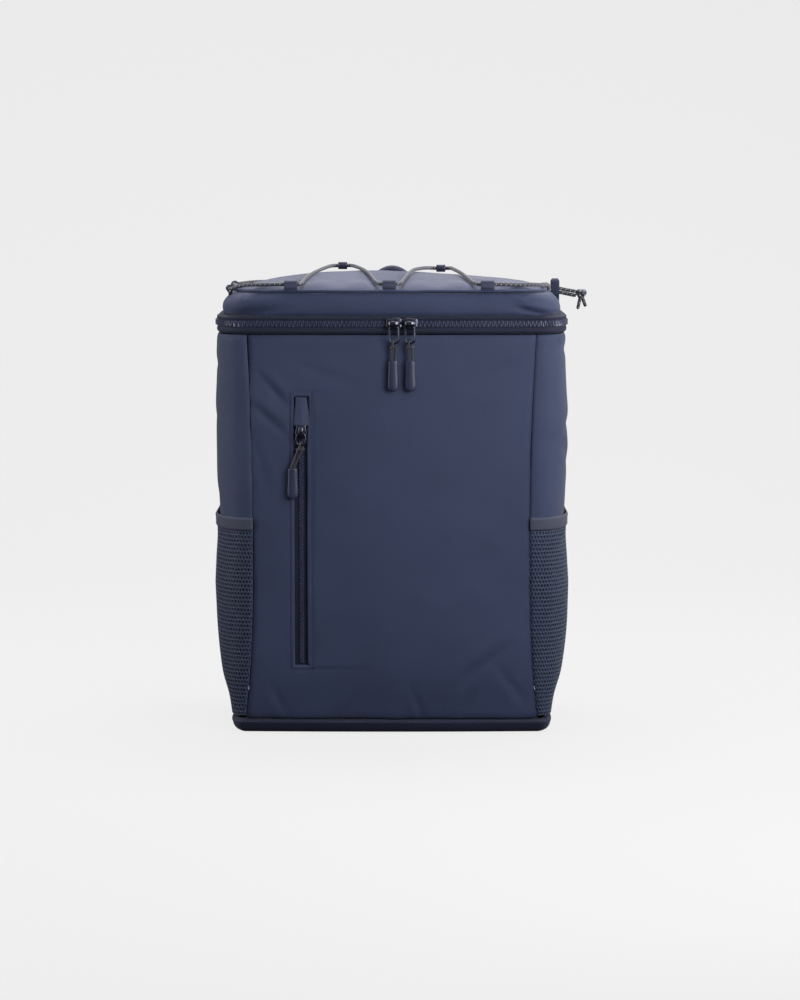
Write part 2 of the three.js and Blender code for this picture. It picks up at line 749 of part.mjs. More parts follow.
function basePanel() {
  const foot = outline(0);
  const rings = BASE_ROWS.map(({ z, depth }) => raise(inset(foot, depth), z));
  rings.push(raise(inset(foot, WALL), BASE_HEIGHT - GAP), raise(inset(foot, WALL + 1), BASE_FLOOR));
  return loft(rings, [new THREE.Vector3(0, 0, 0), new THREE.Vector3(0, 0, BASE_FLOOR)]);
}

const CHAIN_DEPTH = POCKET_RECESS - 2 * GAP - TAPE_THICK;
const CHAIN_FACE = CHAIN_DEPTH - CHAIN_THICK;

function frontPanel() {
  const half = POCKET_ZIP_WIDTH / 2;
  const rows = pocketRows(POCKET_ZIP_BOTTOM, POCKET_ZIP_TOP, WALL_ROWS, half);
  const recess = frontPatch(rows, 2, () => -WALL, () => POCKET_RECESS);
  return fromManifold(toManifold(bodyPanel("front", WALL)).subtract(toManifold(recess)));
}

add("base_panel", basePanel(), baseCloth);
add("front_panel", frontPanel(), shellCloth);
add("gusset_left", bodyPanel("left", WALL), shellCloth);
add("gusset_right", bodyPanel("right", WALL), shellCloth);
add("back_panel", bodyPanel("back", BACK_WALL), shellCloth);

// The lid's zip: two tapes and a moulded chain round the front and sides, and a cloth hinge behind.
const LID_BASE = BODY_TOP + LID_BAND;
const LID_EDGE = LID_BASE + LID_HEIGHT;
const LID_SEAM = LID_EDGE - LID_LIP;
const ZIP_Z = BODY_TOP + LID_BAND * ZIP_LEVEL;
const BAND_FACE = -(GAP + TAPE_THICK);
const ZIP_FACE = BAND_FACE - GAP - CHAIN_THICK;
STRETCHES.zip = [LEFT_START + 1, AROUND + BACK_START - 1];
STRETCHES.hinge = [BACK_START - 1, LEFT_START + 1];

function bandStrip(name, rows) {
  const top = outline(1);
  const grid = (key) => rows.map((row) => stretchOf(raise(inset(top, row[key]), row.z), name));
  return wall(grid("outer"), grid("inner"));
}

const flatRows = (from, to) =>
  [from, to].map((z) => ({ z, outer: BAND_FACE, inner: BAND_FACE + TAPE_THICK }));
const chainRows = [-0.5, 0, 0.5].map((share) => ({
  z: ZIP_Z + share * CHAIN_WIDTH,
  outer: share === 0 ? ZIP_FACE : ZIP_FACE + CHAIN_THICK / 3,
  inner: BAND_FACE - GAP,
}));

add("zip_tape_lower", bandStrip("zip", flatRows(BODY_TOP + GAP, ZIP_Z - GAP / 2)), tapeCloth);
add("zip_tape_upper", bandStrip("zip", flatRows(ZIP_Z + GAP / 2, LID_BASE - GAP)), tapeCloth);
add("lid_zip_chain", bandStrip("zip", chainRows), chainPlastic);
add("lid_hinge", bandStrip("hinge", flatRows(BODY_TOP + GAP, LID_BASE - GAP)), shellCloth);

// The lid: a low wall, a crowned padded top and piping on the seam between them.
const lidOutline = ({ width, depth }) => outline(1).map(([x, y]) => [x * width, y * depth]);
const LID_TOP_ROW = LID_SECTIONS[LID_SECTIONS.length - 1];
const lidTopOutline = lidOutline(LID_TOP_ROW);
const lidMiddleY =
  (lidTopOutline[FRONT_STEPS / 2][1] + lidTopOutline[BACK_START + BACK_STEPS / 2][1]) / 2;
const lidHalfWidth = lidTopOutline[RIGHT_START + CORNER_STEPS][0];
const lidHalfDepth = lidTopOutline[BACK_START][1] - lidMiddleY;

function lidWall() {
  const grid = (depth) =>
    LID_SECTIONS.map((row) => {
      const z = LID_BASE + GAP + row.rise * (LID_SEAM - GAP / 2 - LID_BASE - GAP);
      return raise(inset(lidOutline(row), depth), z);
    });
  return wall(grid(0), grid(LID_WALL), true);
}

// The lid top's rise over its edge, at a place that lies a share of the way out to the edge.
function crownAt(x, y, share) {
  let crown = LID_CROWN * (1 - share ** LID_CROWN_POWER);
  const inner = Math.min(1, (1 - share) * LID_DIP_RAMP);
  for (const dip of LID_DIPS) {
    const across = (x / (BODY_WIDTH / 2) - dip.across) / dip.wide;
    const back = (y / (BODY_DEPTH / 2) - dip.back) / dip.long;
    crown -= inner * dip.deep * LID_CROWN * Math.exp(-(across ** 2) - back ** 2);
  }
  return crown;
}

function crownPoint([x, y], share, drop = 0) {
  const px = x * share;
  const py = lidMiddleY + (y - lidMiddleY) * share;
  return new THREE.Vector3(px, py, LID_EDGE + GAP + crownAt(px, py, share) - drop);
}

function lidTop() {
  const under = UNDER_RINGS.map((share) =>
    lidTopOutline.map((p) => {
      const point = crownPoint(p, share, LID_PAD);
      return point.setZ(Math.max(point.z, LID_SEAM + GAP / 2));
    }),
  );
  const over = CROWN_RINGS.map((share) => lidTopOutline.map((p) => crownPoint(p, share)));
  const middle = [0, lidMiddleY];
  return loft([...under.reverse(), ...over], [crownPoint(middle, 0, LID_PAD), crownPoint(middle, 0)]);
}

function lidPiping() {
  const pipingZ = LID_SEAM + PIPING_RADIUS;
  const rings = Array.from({ length: PIPING_SIDES }, (_, i) => {
    const turn = (2 * Math.PI * i) / PIPING_SIDES;
    const out = PIPING_RADIUS + GAP + PIPING_RADIUS * Math.cos(turn);
    return raise(inset(lidTopOutline, -out), pipingZ + PIPING_RADIUS * Math.sin(turn));
  });
  return loft(rings);
}

add("lid_fascia", lidWall(), shellCloth);
add("lid_top", lidTop(), lidCloth);
add("lid_piping", lidPiping(), webbing);

// How far a ray from the lid's middle through a place goes before it meets the lid's edge.
function lidShare(x, y) {
  const [dx, dy] = [x, y - lidMiddleY];
  for (let i = 0; i < AROUND; i += 1) {
    const [ax, ay] = lidTopOutline[i];
    const [bx, by] = lidTopOutline[(i + 1) % AROUND];
    const [ex, ey] = [bx - ax, by - ay];
    const cross = dx * ey - dy * ex;
    if (cross <= 0) continue;
    const reach = (ax * ey - (ay - lidMiddleY) * ex) / cross;
    const along = (ax * dy - (ay - lidMiddleY) * dx) / cross;
    if (reach > 0 && along >= 0 && along <= 1) return 1 / reach;
  }
  return 0;
}

function lidZ(x, y) {
  const share = Math.min(1, lidShare(x, y));
  return LID_EDGE + GAP + crownAt(x, y, share);
}

// A zip slider: a plate with a bridge that its pull ring hangs from. turned: its length is upright.
function slider(turned) {
  const [length, width] = turned ? [SLIDER_WIDTH, SLIDER_LENGTH] : [SLIDER_LENGTH, SLIDER_WIDTH];
  const body = plate(roundedPoints(length, width, SLIDER_WIDTH / 4), SLIDER_THICK);
  const sunk = SLIDER_THICK / 2;
  const middle = -SLIDER_THICK + sunk - (BRIDGE_RISE + sunk) / 2;
  const bridge = new THREE.BoxGeometry(BRIDGE_WIDTH, BRIDGE_RISE + sunk, BRIDGE_LENGTH);
  const eye = new THREE.BoxGeometry(
    2 * BRIDGE_WIDTH,
    BRIDGE_RISE - BRIDGE_WALL,
    BRIDGE_LENGTH - 2 * BRIDGE_WALL,
  );
  bridge.translate(0, middle, 0);
  eye.translate(0, -SLIDER_THICK - (BRIDGE_RISE - BRIDGE_WALL) / 2, 0);
  return fromManifold(toManifold(bridge).subtract(toManifold(eye)).add(toManifold(body)));
}

function pullRing(height) {
  const outer = roundedPoints(RING_WIDTH, height, RING_WIDTH / 4);
  const corner = RING_WIDTH / 4 - RING_WIRE / 2;
  const inner = roundedPoints(RING_WIDTH - 2 * RING_WIRE, height - 2 * RING_WIRE, corner);
  return plate(outer, RING_WIRE, [inner]).translate(0, RING_WIRE / 2, 0);
}

// The doubled cord of a pull: up from the pull end, round the ring's lower bar and down again.
function pullLoop(drop, sway) {
  const turn = PULL_CORD / 2 + RING_WIRE / 2 + 2 * GAP;
  const apart = PULL_CORD / 2 + GAP;
  const leg = (side) =>
    PULL_LEG.map(({ down, out }) => [side * apart + sway * down, side * turn * out, -drop * down]);
  const bight = [-1, 0, 1].map((side) => [side * apart * PULL_BIGHT, side * turn, side ? 0 : turn]);
  return tube([...leg(-1), ...bight, ...leg(1).reverse()], PULL_CORD / 2, 2, THIN_SIDES);
}

// A slider with its ring, cord and pull end, hung on a chain's face.
function addPull({ names, at, turned = false, ring = RING_HEIGHT, drop = PULL_DROP, sway = 0 }) {
  const group = new THREE.Group();
  group.position.set(...at);
  backpack.add(group);
  const [sliderName, ringName, cordName, endName] = names;
  const plane = -GAP - SLIDER_THICK - (BRIDGE_RISE - BRIDGE_WALL) / 2;
  const bar = -(BRIDGE_LENGTH / 2 - BRIDGE_WALL) + RING_WIRE / 2 + GAP;
  const lowBar = bar - ring + RING_WIRE;
  add(sliderName, slider(turned), sliderMetal, group).position.set(0, -GAP, 0);
  add(ringName, pullRing(ring), ringMetal, group).position.set(0, plane, (bar + lowBar) / 2);
  add(cordName, pullLoop(drop, sway), cordBraid, group).position.set(0, plane, lowBar);
  const end = plate(roundedPoints(PULL_WIDTH, PULL_LENGTH, PULL_WIDTH / 4), PULL_THICK);
  add(endName, end, pullRubber, group).position.set(
    sway,
    plane + PULL_THICK / 2,
    lowBar - drop - GAP - PULL_LENGTH / 2,
  );
}

const pullNames = (prefix) => ["slider", "pull_ring", "pull_cord", "pull_end"].map((part) => prefix + part);

for (const [side, word] of [
  [-1, "left"],
  [1, "right"],
]) {
  const x = SLIDER_PAIR_X + (side * (SLIDER_LENGTH + GAP)) / 2;
  addPull({
    names: pullNames("lid_").map((name) => name + "_" + word),
    at: [x, frontY(x, BODY_TOP) + ZIP_FACE, ZIP_Z + SLIDER_LIFT],
  });
}

// The front pocket's zip: a tape and chain in the recess, a welt beside it and a cloth garage at its top.
const zipRows = (half) => pocketRows(POCKET_ZIP_BOTTOM + GAP, POCKET_ZIP_TOP - GAP, ZIP_ROWS, half);
const tapeDepth = POCKET_RECESS - GAP;

add(
  "pocket_zip_tape",
  frontPatch(zipRows(POCKET_ZIP_WIDTH / 2 - GAP), 1, () => tapeDepth - TAPE_THICK, () => tapeDepth),
  tapeCloth,
);
add(
  "pocket_zip_chain",
  frontPatch(
    zipRows(CHAIN_WIDTH / 2),
    4,
    (share) => CHAIN_FACE + (CHAIN_THICK / 2) * share ** 2,
    () => CHAIN_DEPTH,
  ),
  chainPlastic,
);

const garageMouth = POCKET_ZIP_TOP - GARAGE_LENGTH;
const weltRows = pocketRows(
  POCKET_ZIP_BOTTOM,
  garageMouth - GAP,
  ZIP_ROWS,
  WELT_RADIUS,
  POCKET_ZIP_X + POCKET_ZIP_WIDTH / 2 + WELT_RADIUS + GAP,
);
add(
  "pocket_welt",
  frontPatch(weltRows, 4, (share) => -GAP - WELT_EDGE - WELT_RADIUS * (1 - share ** 2), () => -GAP),
  shellCloth,
);

const garageRows = [0, 0.35, 0.7, 1].map((open) => ({
  open,
  z: POCKET_ZIP_TOP - GAP - open * (GARAGE_LENGTH - GAP),
  x: POCKET_ZIP_X,
  half: (GARAGE_TOP_WIDTH + open * (GARAGE_MOUTH_WIDTH - GARAGE_TOP_WIDTH)) / 2,
}));
const garageDepth = (share, { open }) => {
  const arch = GAP - CHAIN_FACE + GAP + GARAGE_ARCH * open;
  return -GAP - arch * (1 - share ** 4);
};
add(
  "zip_garage",
  frontPatch(garageRows, 6, (share, row) => garageDepth(share, row) - GARAGE_THICK, garageDepth),
  tapeCloth,
);

const pocketSliderZ = garageMouth - BRIDGE_LENGTH / 2 - POCKET_SLIDER_DROP;
addPull({
  names: pullNames("pocket_"),
  at: [POCKET_ZIP_X, frontY(POCKET_ZIP_X, pocketSliderZ) + CHAIN_FACE, pocketSliderZ],
  turned: true,
  ring: POCKET_RING_HEIGHT,
  drop: POCKET_PULL_DROP,
  sway: POCKET_PULL_SWAY,
});

// The mesh side pockets and their elastic bindings.
const pocketTop = BASE_HEIGHT + POCKET_HEIGHT;

// A ring round the body at a height, standing off the gussets by a share of POCKET_STAND and then some.
function pocketRing(z, stand, more, name) {
  const rise = riseAt(z);
  const points = outline(rise);
  const [from] = STRETCHES[name];
  const depths = points.map((_, i) => {
    const along = THREE.MathUtils.clamp((i - from + (i < from ? AROUND : 0)) / GUSSET_STEPS, 0, 1);
    return -(GAP + more + stand * POCKET_STAND * Math.min(1, POCKET_FULLNESS * Math.sin(Math.PI * along)));
  });
  return stretchOf(raise(inset(points, depths), z), name);
}

for (const name of ["left", "right"]) {
  const heights = POCKET_SECTIONS.map(({ rise, stand }) => {
    return { stand, z: BASE_HEIGHT + rise * POCKET_HEIGHT };
  });
  add(
    "mesh_pocket_" + name,
    wall(
      heights.map(({ z, stand }) => pocketRing(z, stand, MESH_THICK, name)),
      heights.map(({ z, stand }) => pocketRing(z, stand, 0, name)),
    ),
    meshNet,
  );
  const { stand } = POCKET_SECTIONS[POCKET_SECTIONS.length - 1];
  const bindingHeights = [pocketTop + GAP, pocketTop + BINDING_HEIGHT];
  add(
    "pocket_binding_" + name,
    wall(
      bindingHeights.map((z) => pocketRing(z, stand, BINDING_THICK, name)),
      bindingHeights.map((z) => pocketRing(z, stand, 0, name)),
    ),
    elastic,
  );
}

// Webbing tabs: a loop sewn into a seam, with an eye for the cord. The eye is at the tab's origin.
const EYE_RADIUS = CORD_DIAMETER / 2 + TAB_CLEAR;
const EYE_TURNS = 8;

function tabShape(slot, tail) {
  const outer = EYE_RADIUS + TAB_THICK;
  const arc = (radius, middle, from, count) =>
    Array.from({ length: count + 1 }, (_, i) => {
      const turn = THREE.MathUtils.degToRad(from + (180 * i) / count);
      return new THREE.Vector2(radius * Math.cos(turn), middle + radius * Math.sin(turn));
    });
  const hips = slot > 0 ? [-outer, outer].map((x) => new THREE.Vector2(x, -slot)) : [];
  const foot = [-TAB_THICK, TAB_THICK].map((x) => new THREE.Vector2(x, -slot - tail));
  const rim = arc(outer, 0, 0, THIN_SIDES);
  const shape = new THREE.Shape([...rim, ...hips.slice(0, 1), ...foot, ...hips.slice(1)]);
  const upper = arc(EYE_RADIUS, 0, 0, EYE_TURNS / 2);
  const lower = arc(EYE_RADIUS, -slot, 180, EYE_TURNS / 2);
  shape.holes.push(new THREE.Path([...upper, ...(slot > 0 ? lower : lower.slice(1, -1))]));
  return shape;
}

// The tab's eye runs along X, and its tail hangs down.
const TO_TAB = new THREE.Matrix4().makeBasis(
  new THREE.Vector3(0, 1, 0),
  new THREE.Vector3(0, 0, 1),
  new THREE.Vector3(1, 0, 0),
);

function addTab(name, width, slot, tail, at, turn, lean) {
  const made = new THREE.ExtrudeGeometry(tabShape(slot, tail), { depth: width, bevelEnabled: false });
  const mesh = add(name, made.translate(0, 0, -width / 2).applyMatrix4(TO_TAB), webbing);
  mesh.position.set(...at);
  mesh.rotation.set(THREE.MathUtils.degToRad(-lean), 0, THREE.MathUtils.degToRad(turn), "ZXY");
}

for (const { name, across, back, lift, turn, lean } of LID_TABS) {
  const x = across * lidHalfWidth;
  const y = lidMiddleY + back * lidHalfDepth;
  addTab(name, TAB_WIDTH, 0, TAB_TAIL, [x, y, lidZ(x, y) + TAB_SEAT + lift], turn, lean);
}

for (const { name, across, back, turn, lean } of EDGE_TABS) {
  const at = [across * lidHalfWidth, lidMiddleY + back * lidHalfDepth, LID_EDGE + EDGE_TAB_RISE];
  addTab(name, TAB_WIDTH, 0, TAB_TAIL, at, turn, lean);
}

const sideTabTop = LID_BASE + SIDE_TAB_RISE - EYE_RADIUS - TAB_THICK;
const sideTabSlot = SIDE_TAB_EYE - 2 * EYE_RADIUS;
addTab(
  "cord_tab_side_right",
  SIDE_TAB_WIDTH,
  sideTabSlot,
  sideTabTop - sideTabSlot - LID_BASE - GAP,
  [SIDE_TAB_X, SIDE_TAB_Y, sideTabTop],
  0,
  0,
);

// The elastic cord, and the knot that ties its two ends, with their tails.
function knot() {
  const ball = new THREE.SphereGeometry(KNOT_RADIUS, 9, 6).scale(KNOT_WIDE, KNOT_DEEP, 1);
  const tails = KNOT_TAILS.map((end) => {
    const points = [0.35, 0.7, 1].map((share) => end.map((value) => value * share));
    return tube(points, CORD_DIAMETER / 2, 1, THIN_SIDES);
  });
  return fromManifold(tails.reduce((made, tail) => made.add(toManifold(tail)), toManifold(ball)));
}

add("bungee_cord", tube(CORD_ROUTE, CORD_DIAMETER / 2, 1), cordBraid);
add("bungee_knot", knot(), cordBraid).position.set(...KNOT_AT);

// The shoulder straps, with a ladder buckle, lower webbing and a sewn anchor each.
const backY = (z) => bodySection(riseAt(z)).back;

function strapPoint(side, { across, rise, behind }, thick) {
  const z = rise * BODY_TOP;
  const y = backY(Math.min(z, BODY_TOP)) + GAP + thick / 2 + behind * STRAP_REACH;
  return new THREE.Vector3((side * across * BODY_WIDTH) / 2, y, z);
}

const ACROSS_X = new THREE.Vector3(1, 0, 0);
const STRAP_END = STRAP_SECTIONS[STRAP_SECTIONS.length - 1];
const anchorY = backY(ANCHOR_Z + ANCHOR_SIZE / 2) + GAP + ANCHOR_THICK;

for (const [side, word] of [
  [-1, "left"],
  [1, "right"],
]) {
  const padded = STRAP_SECTIONS.map((row) => {
    const thick = row.thick * STRAP_THICK;
    return { at: strapPoint(side, row, thick), across: ACROSS_X, width: row.width * STRAP_WIDTH, thick };
  });
  add("shoulder_strap_" + word, strip(padded), shellCloth);

  const top = strapPoint(side, STRAP_END, STRAP_END.thick * STRAP_THICK);
  const foot = new THREE.Vector3(
    (side * ANCHOR_ACROSS * BODY_WIDTH) / 2,
    anchorY + GAP + WEBBING_THICK / 2,
    ANCHOR_Z,
  );
  const slope = foot.clone().sub(top);
  const fall = slope.clone().normalize();
  const start = top.clone().addScaledVector(fall, WEBBING_START);
  const strap = [0, 0.3, 0.6, 0.85, 1].map((share) => ({
    at: start
      .clone()
      .lerp(foot, share)
      .add(new THREE.Vector3(0, -WEBBING_SAG * Math.sin(Math.PI * share), 0)),
    across: ACROSS_X,
    width: WEBBING_WIDTH,
    thick: WEBBING_THICK,
  }));
  strap.push({ ...strap[4], at: foot.clone().add(new THREE.Vector3(0, 0, -WEBBING_SEWN)) });
  add("strap_webbing_" + word, strip(strap), webbing);

  const slot = (middle) => roundedPoints(SLOT_WIDTH, SLOT_HEIGHT, SLOT_CORNER, middle);
  const outer = roundedPoints(BUCKLE_WIDTH, BUCKLE_HEIGHT, BUCKLE_CORNER);
  const buckle = add(
    "ladder_buckle_" + word,
    plate(outer, BUCKLE_THICK, [slot(SLOT_OFFSET), slot(-SLOT_OFFSET)]),
    bucklePlastic,
  );
  const tilt = Math.atan2(-slope.y, -slope.z);
  const seat = start.clone().addScaledVector(fall, BUCKLE_HEIGHT / 2 + BUCKLE_THICK);
  const stand = WEBBING_THICK / 2 + GAP + BUCKLE_THICK;
  buckle.position.copy(seat).add(new THREE.Vector3(0, stand * Math.cos(tilt), -stand * Math.sin(tilt)));
  buckle.rotation.set(-tilt, 0, 0);

  const square = roundedPoints(ANCHOR_SIZE, ANCHOR_SIZE, ANCHOR_CORNER);
  const patch = add("strap_anchor_" + word, plate(square, ANCHOR_THICK), webbing);
  patch.position.set(foot.x, anchorY, ANCHOR_Z);
}

// The grab handle: webbing that lies flat on the back panel and is folded round where the hand goes.
const handleFoot = LID_BASE - HANDLE_LEG;
const handleY = backY(BODY_TOP) - BAND_FACE + GAP;
const arch = HANDLE_SECTIONS.map(({ across, rise, wide, deep }) => {
  const thick = deep * HANDLE_GRIP;
  return {
    at: new THREE.Vector3(
      (across * HANDLE_SPAN) / 2,
      handleY + thick / 2,
      handleFoot + rise * (HANDLE_LEG + HANDLE_RISE),
    ),
    across: new THREE.Vector3(0, 1, 0),
    width: thick,
    thick: wide * HANDLE_WIDTH,
  };
});
const mirrored = arch
  .slice(0, -1)
  .reverse()
  .map((row) => ({ ...row, at: row.at.clone().setX(-row.at.x) }));
add("grab_handle", strip([...arch, ...mirrored]), webbing);

export default backpack;
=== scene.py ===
# %% [markdown]
# # A soft cooler backpack
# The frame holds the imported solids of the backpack: plain walls, tabs, straps and a cord, all in one place.
# This lesson dresses them: cloth that tucks into its seams, a zip with real teeth, a net, webbing and
# stitches.
# Each step says what the real piece is, how it could be made, and why it is made this way.

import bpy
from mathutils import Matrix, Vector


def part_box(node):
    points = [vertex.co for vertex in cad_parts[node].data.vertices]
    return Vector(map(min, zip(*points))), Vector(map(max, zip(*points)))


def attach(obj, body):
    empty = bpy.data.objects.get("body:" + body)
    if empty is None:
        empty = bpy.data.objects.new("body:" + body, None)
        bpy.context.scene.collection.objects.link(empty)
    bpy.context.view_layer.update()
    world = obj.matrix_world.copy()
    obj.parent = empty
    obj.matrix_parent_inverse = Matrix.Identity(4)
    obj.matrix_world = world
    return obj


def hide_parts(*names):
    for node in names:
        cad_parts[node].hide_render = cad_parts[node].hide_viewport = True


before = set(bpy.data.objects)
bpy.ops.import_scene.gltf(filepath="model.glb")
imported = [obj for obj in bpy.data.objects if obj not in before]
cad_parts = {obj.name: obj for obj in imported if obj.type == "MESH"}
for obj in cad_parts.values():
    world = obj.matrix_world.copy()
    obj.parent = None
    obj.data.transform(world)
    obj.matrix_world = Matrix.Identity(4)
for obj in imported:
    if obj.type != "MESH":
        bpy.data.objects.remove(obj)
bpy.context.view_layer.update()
print(len(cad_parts), "solids in the frame")

# %% Modules
import math

import bmesh
import bpy
import numpy as np
from mathutils import Matrix, Vector, noise

scene = bpy.context.scene
MM = 0.001

# %% [markdown]
# ## The camera
# The photograph is upright, 800 by 1000, and looks a little down on the front from 2.6 metres.
# A lens of 73 mm on a sensor 24 mm high gives that view. The camera comes first, so that every later
# choice can be judged in its picture.

# %% Camera
camera_data = bpy.data.cameras.new("front_camera")
camera_data.sensor_fit = "VERTICAL"
camera_data.sensor_height = 24
camera_data.lens = 73.24
camera_data.clip_end = 50
camera = bpy.data.objects.new("front_camera", camera_data)
camera.location = (0.0072, -2.6778, 0.4851)
camera.rotation_euler = (math.radians(90 - 6.2), 0, 0)
scene.collection.objects.link(camera)
scene.camera = camera
print("camera at", tuple(round(v, 3) for v in camera.location))

# %% [markdown]
# ## The named sizes
# The same sizes as the solids, in millimetres. The tables give the body's section at a share of the wall's
# height, and the lid's at a share of its own. Cloth is drawn on the curve through the rows, so it follows
# the solids but has no facets.

# %% Sizes of the body and lid
BODY_WIDTH, BODY_DEPTH, BODY_TOP, BASE_HEIGHT = 304, 184, 342, 15
FRONT_BULGE, BACK_CORNER, CORNER_POWER = 6, 32, 2.4
LID_BASE, LID_EDGE, ZIP_Z = 362, 382, 354
LID_CROWN, LID_CROWN_POWER = 14, 2.5

BODY_SECTIONS = {
    "rise": (0.0, 0.05, 0.11, 0.2, 0.31, 0.45, 0.56, 0.7, 0.84, 0.92, 1.0),
    "width": (0.907, 0.923, 0.957, 0.975, 0.977, 0.977, 0.988, 1.0, 0.997, 0.987, 0.98),
    "seam": (0.914, 0.885, 0.84, 0.812, 0.802, 0.798, 0.79, 0.785, 0.797, 0.812, 0.827),
    "front": (0.85, 0.875, 0.897, 0.916, 0.929, 0.935, 0.935, 0.935, 0.925, 0.915, 0.905),
    "back": (0.93, 0.95, 0.97, 0.985, 0.995, 1.0, 1.0, 1.0, 0.995, 0.99, 0.985),
    "corner": (0.14, 0.17, 0.21, 0.26, 0.29, 0.31, 0.31, 0.3, 0.29, 0.28, 0.27),
    "bulge": (0.45, 0.6, 0.75, 0.9, 1.0, 1.0, 1.0, 1.0, 0.9, 0.8, 0.7),
}
LID_SECTIONS = {
    "rise": (0.0, 0.5, 0.82, 1.0),
    "width": (0.972, 0.955, 0.922, 0.884),
    "depth": (0.985, 0.975, 0.96, 0.94),
}
# Dips of the crown: middle across and back, reach across and back, and depth, as shares.
LID_DIPS = (
    (0.42, 0.2, 0.3, 0.7, 0.2),
    (-0.01, -0.75, 0.12, 0.45, 0.22),
    (-0.56, -0.75, 0.12, 0.35, 0.14),
    (0.55, -0.75, 0.12, 0.35, 0.14),
)


def read(table, column, rise):
    """A column's value at a rise, on a smooth curve through the table's rows."""
    at, values = np.array(table["rise"]), np.array(table[column])
    rise = np.asarray(rise, float)
    i = np.clip(np.searchsorted(at, rise, "right") - 1, 0, len(at) - 2)
    before, after = np.maximum(i - 1, 0), np.minimum(i + 2, len(at) - 1)
    span = at[i + 1] - at[i]
    t = (rise - at[i]) / span
    slope_a = (values[i + 1] - values[before]) / (at[i + 1] - at[before]) * span
    slope_b = (values[after] - values[i]) / (at[after] - at[i]) * span
    return (
        (2 * t**3 - 3 * t**2 + 1) * values[i]
        + (t**3 - 2 * t**2 + t) * slope_a
        + (3 * t**2 - 2 * t**3) * values[i + 1]
        + (t**3 - t**2) * slope_b
    )


def body_section(z):
    """Half-width, seam, front, back, corner depth and bulge of the body at a height."""
    rise = (np.asarray(z, float) - BASE_HEIGHT) / (BODY_TOP - BASE_HEIGHT)
    half = read(BODY_SECTIONS, "width", rise) * BODY_WIDTH / 2
    return (
        half,
        read(BODY_SECTIONS, "seam", rise) * half,
        -read(BODY_SECTIONS, "front", rise) * BODY_DEPTH / 2,
        read(BODY_SECTIONS, "back", rise) * BODY_DEPTH / 2,
        read(BODY_SECTIONS, "corner", rise) * BODY_DEPTH,
        read(BODY_SECTIONS, "bulge", rise) * FRONT_BULGE,
    )


def front_y(x, z):
    """The front cloth's depth at a place."""
    _, seam, front, _, _, bulge = body_section(z)
    return front - bulge * (1 - (x / seam) ** 2)


print("front at mid height: y =", round(float(front_y(0, 180)), 1), "mm")

# %% [markdown]
# ## Lines round the body
# A gusset runs round the front corner, along the side and round the back corner. Its line is drawn finely
# and then spaced evenly by length, so that a grid built on it has even cells and its cloth an even weave.

# %% Lines round the body
def spaced(points, count, closed=False):
    """Points evenly spaced by length along a line of points."""
    if closed:
        points = np.vstack([points, points[:1]])
    steps = np.linalg.norm(np.diff(points, axis=0), axis=1)
    along = np.concatenate([[0], np.cumsum(steps)])
    at = np.linspace(0, along[-1], count, endpoint=not closed)
    return np.stack([np.interp(at, along, points[:, k]) for k in range(points.shape[1])], axis=1)


def gusset_line(z, back_turn=90):
    """The right gusset's line at a height, from the front seam to the back one."""
    half, seam, front, back, corner, _ = (float(v) for v in body_section(z))
    turns = np.radians(np.linspace(0, 90, 40, endpoint=False))
    power = 2 / CORNER_POWER
    round_front = np.stack(
        [seam + (half - seam) * np.sin(turns) ** power, front + corner * (1 - np.cos(turns) ** power)], axis=1
    )
    side_end = back - BACK_CORNER
    side = np.stack([np.full(12, half), np.linspace(front + corner, side_end, 12, endpoint=False)], axis=1)
    turns = np.radians(np.linspace(0, back_turn, 24))
    round_back = np.stack(
        [half - BACK_CORNER * (1 - np.cos(turns)), side_end + BACK_CORNER * np.sin(turns)], axis=1
    )
    return np.vstack([round_front, side, round_back])


def front_line(z, count=80):
    _, seam, front, _, _, bulge = (float(v) for v in body_section(z))
    share = np.linspace(-1, 1, count)
    return np.stack([share * seam, front - bulge * (1 - share**2)], axis=1)


def back_line(z, count=40, turn=90):
    right = gusset_line(z, turn)[-1]
    half, _, _, back, _, _ = (float(v) for v in body_section(z))
    corner = gusset_line(z)[-24:]
    rest = corner[corner[:, 0] < right[0] - 1e-6]
    reach = half - BACK_CORNER
    flat = np.stack([np.linspace(reach, -reach, count), np.full(count, back)], axis=1)
    line = np.vstack([[right], rest[:-1], flat]) if len(rest) else flat
    mirrored = line[: len(line) - count][::-1] * (-1, 1)
    return np.vstack([line, mirrored]) if len(rest) else line


def whole_line(z, count):
    """The whole outline at a height, from the left front seam round by the right."""
    right = gusset_line(z)
    left = right[::-1] * (-1, 1)
    return spaced(np.vstack([front_line(z)[:-1], right[:-1], back_line(z)[:-1], left[:-1]]), count, True)


def moved_out(line, distance, closed=False):
    """A line moved outwards, away from the middle of the body."""
    if closed:
        along = np.roll(line, -1, axis=0) - np.roll(line, 1, axis=0)
    else:
        along = np.gradient(line, axis=0)
    along = along / np.linalg.norm(along, axis=1, keepdims=True)
    return line + np.stack([along[:, 1], -along[:, 0]], axis=1) * np.reshape(distance, (-1, 1))


print("outline at the top:", len(whole_line(BODY_TOP, 300)), "points")

# %% [markdown]
# ## From a grid to a closed piece of cloth
# Every cloth piece starts as a grid of points on its outer face. The faces of the grid are copied a little
# deeper, and its open edges are joined, which gives a closed piece of real thickness. Its UV map is in
# metres of cloth, so a weave has the same size on every piece.

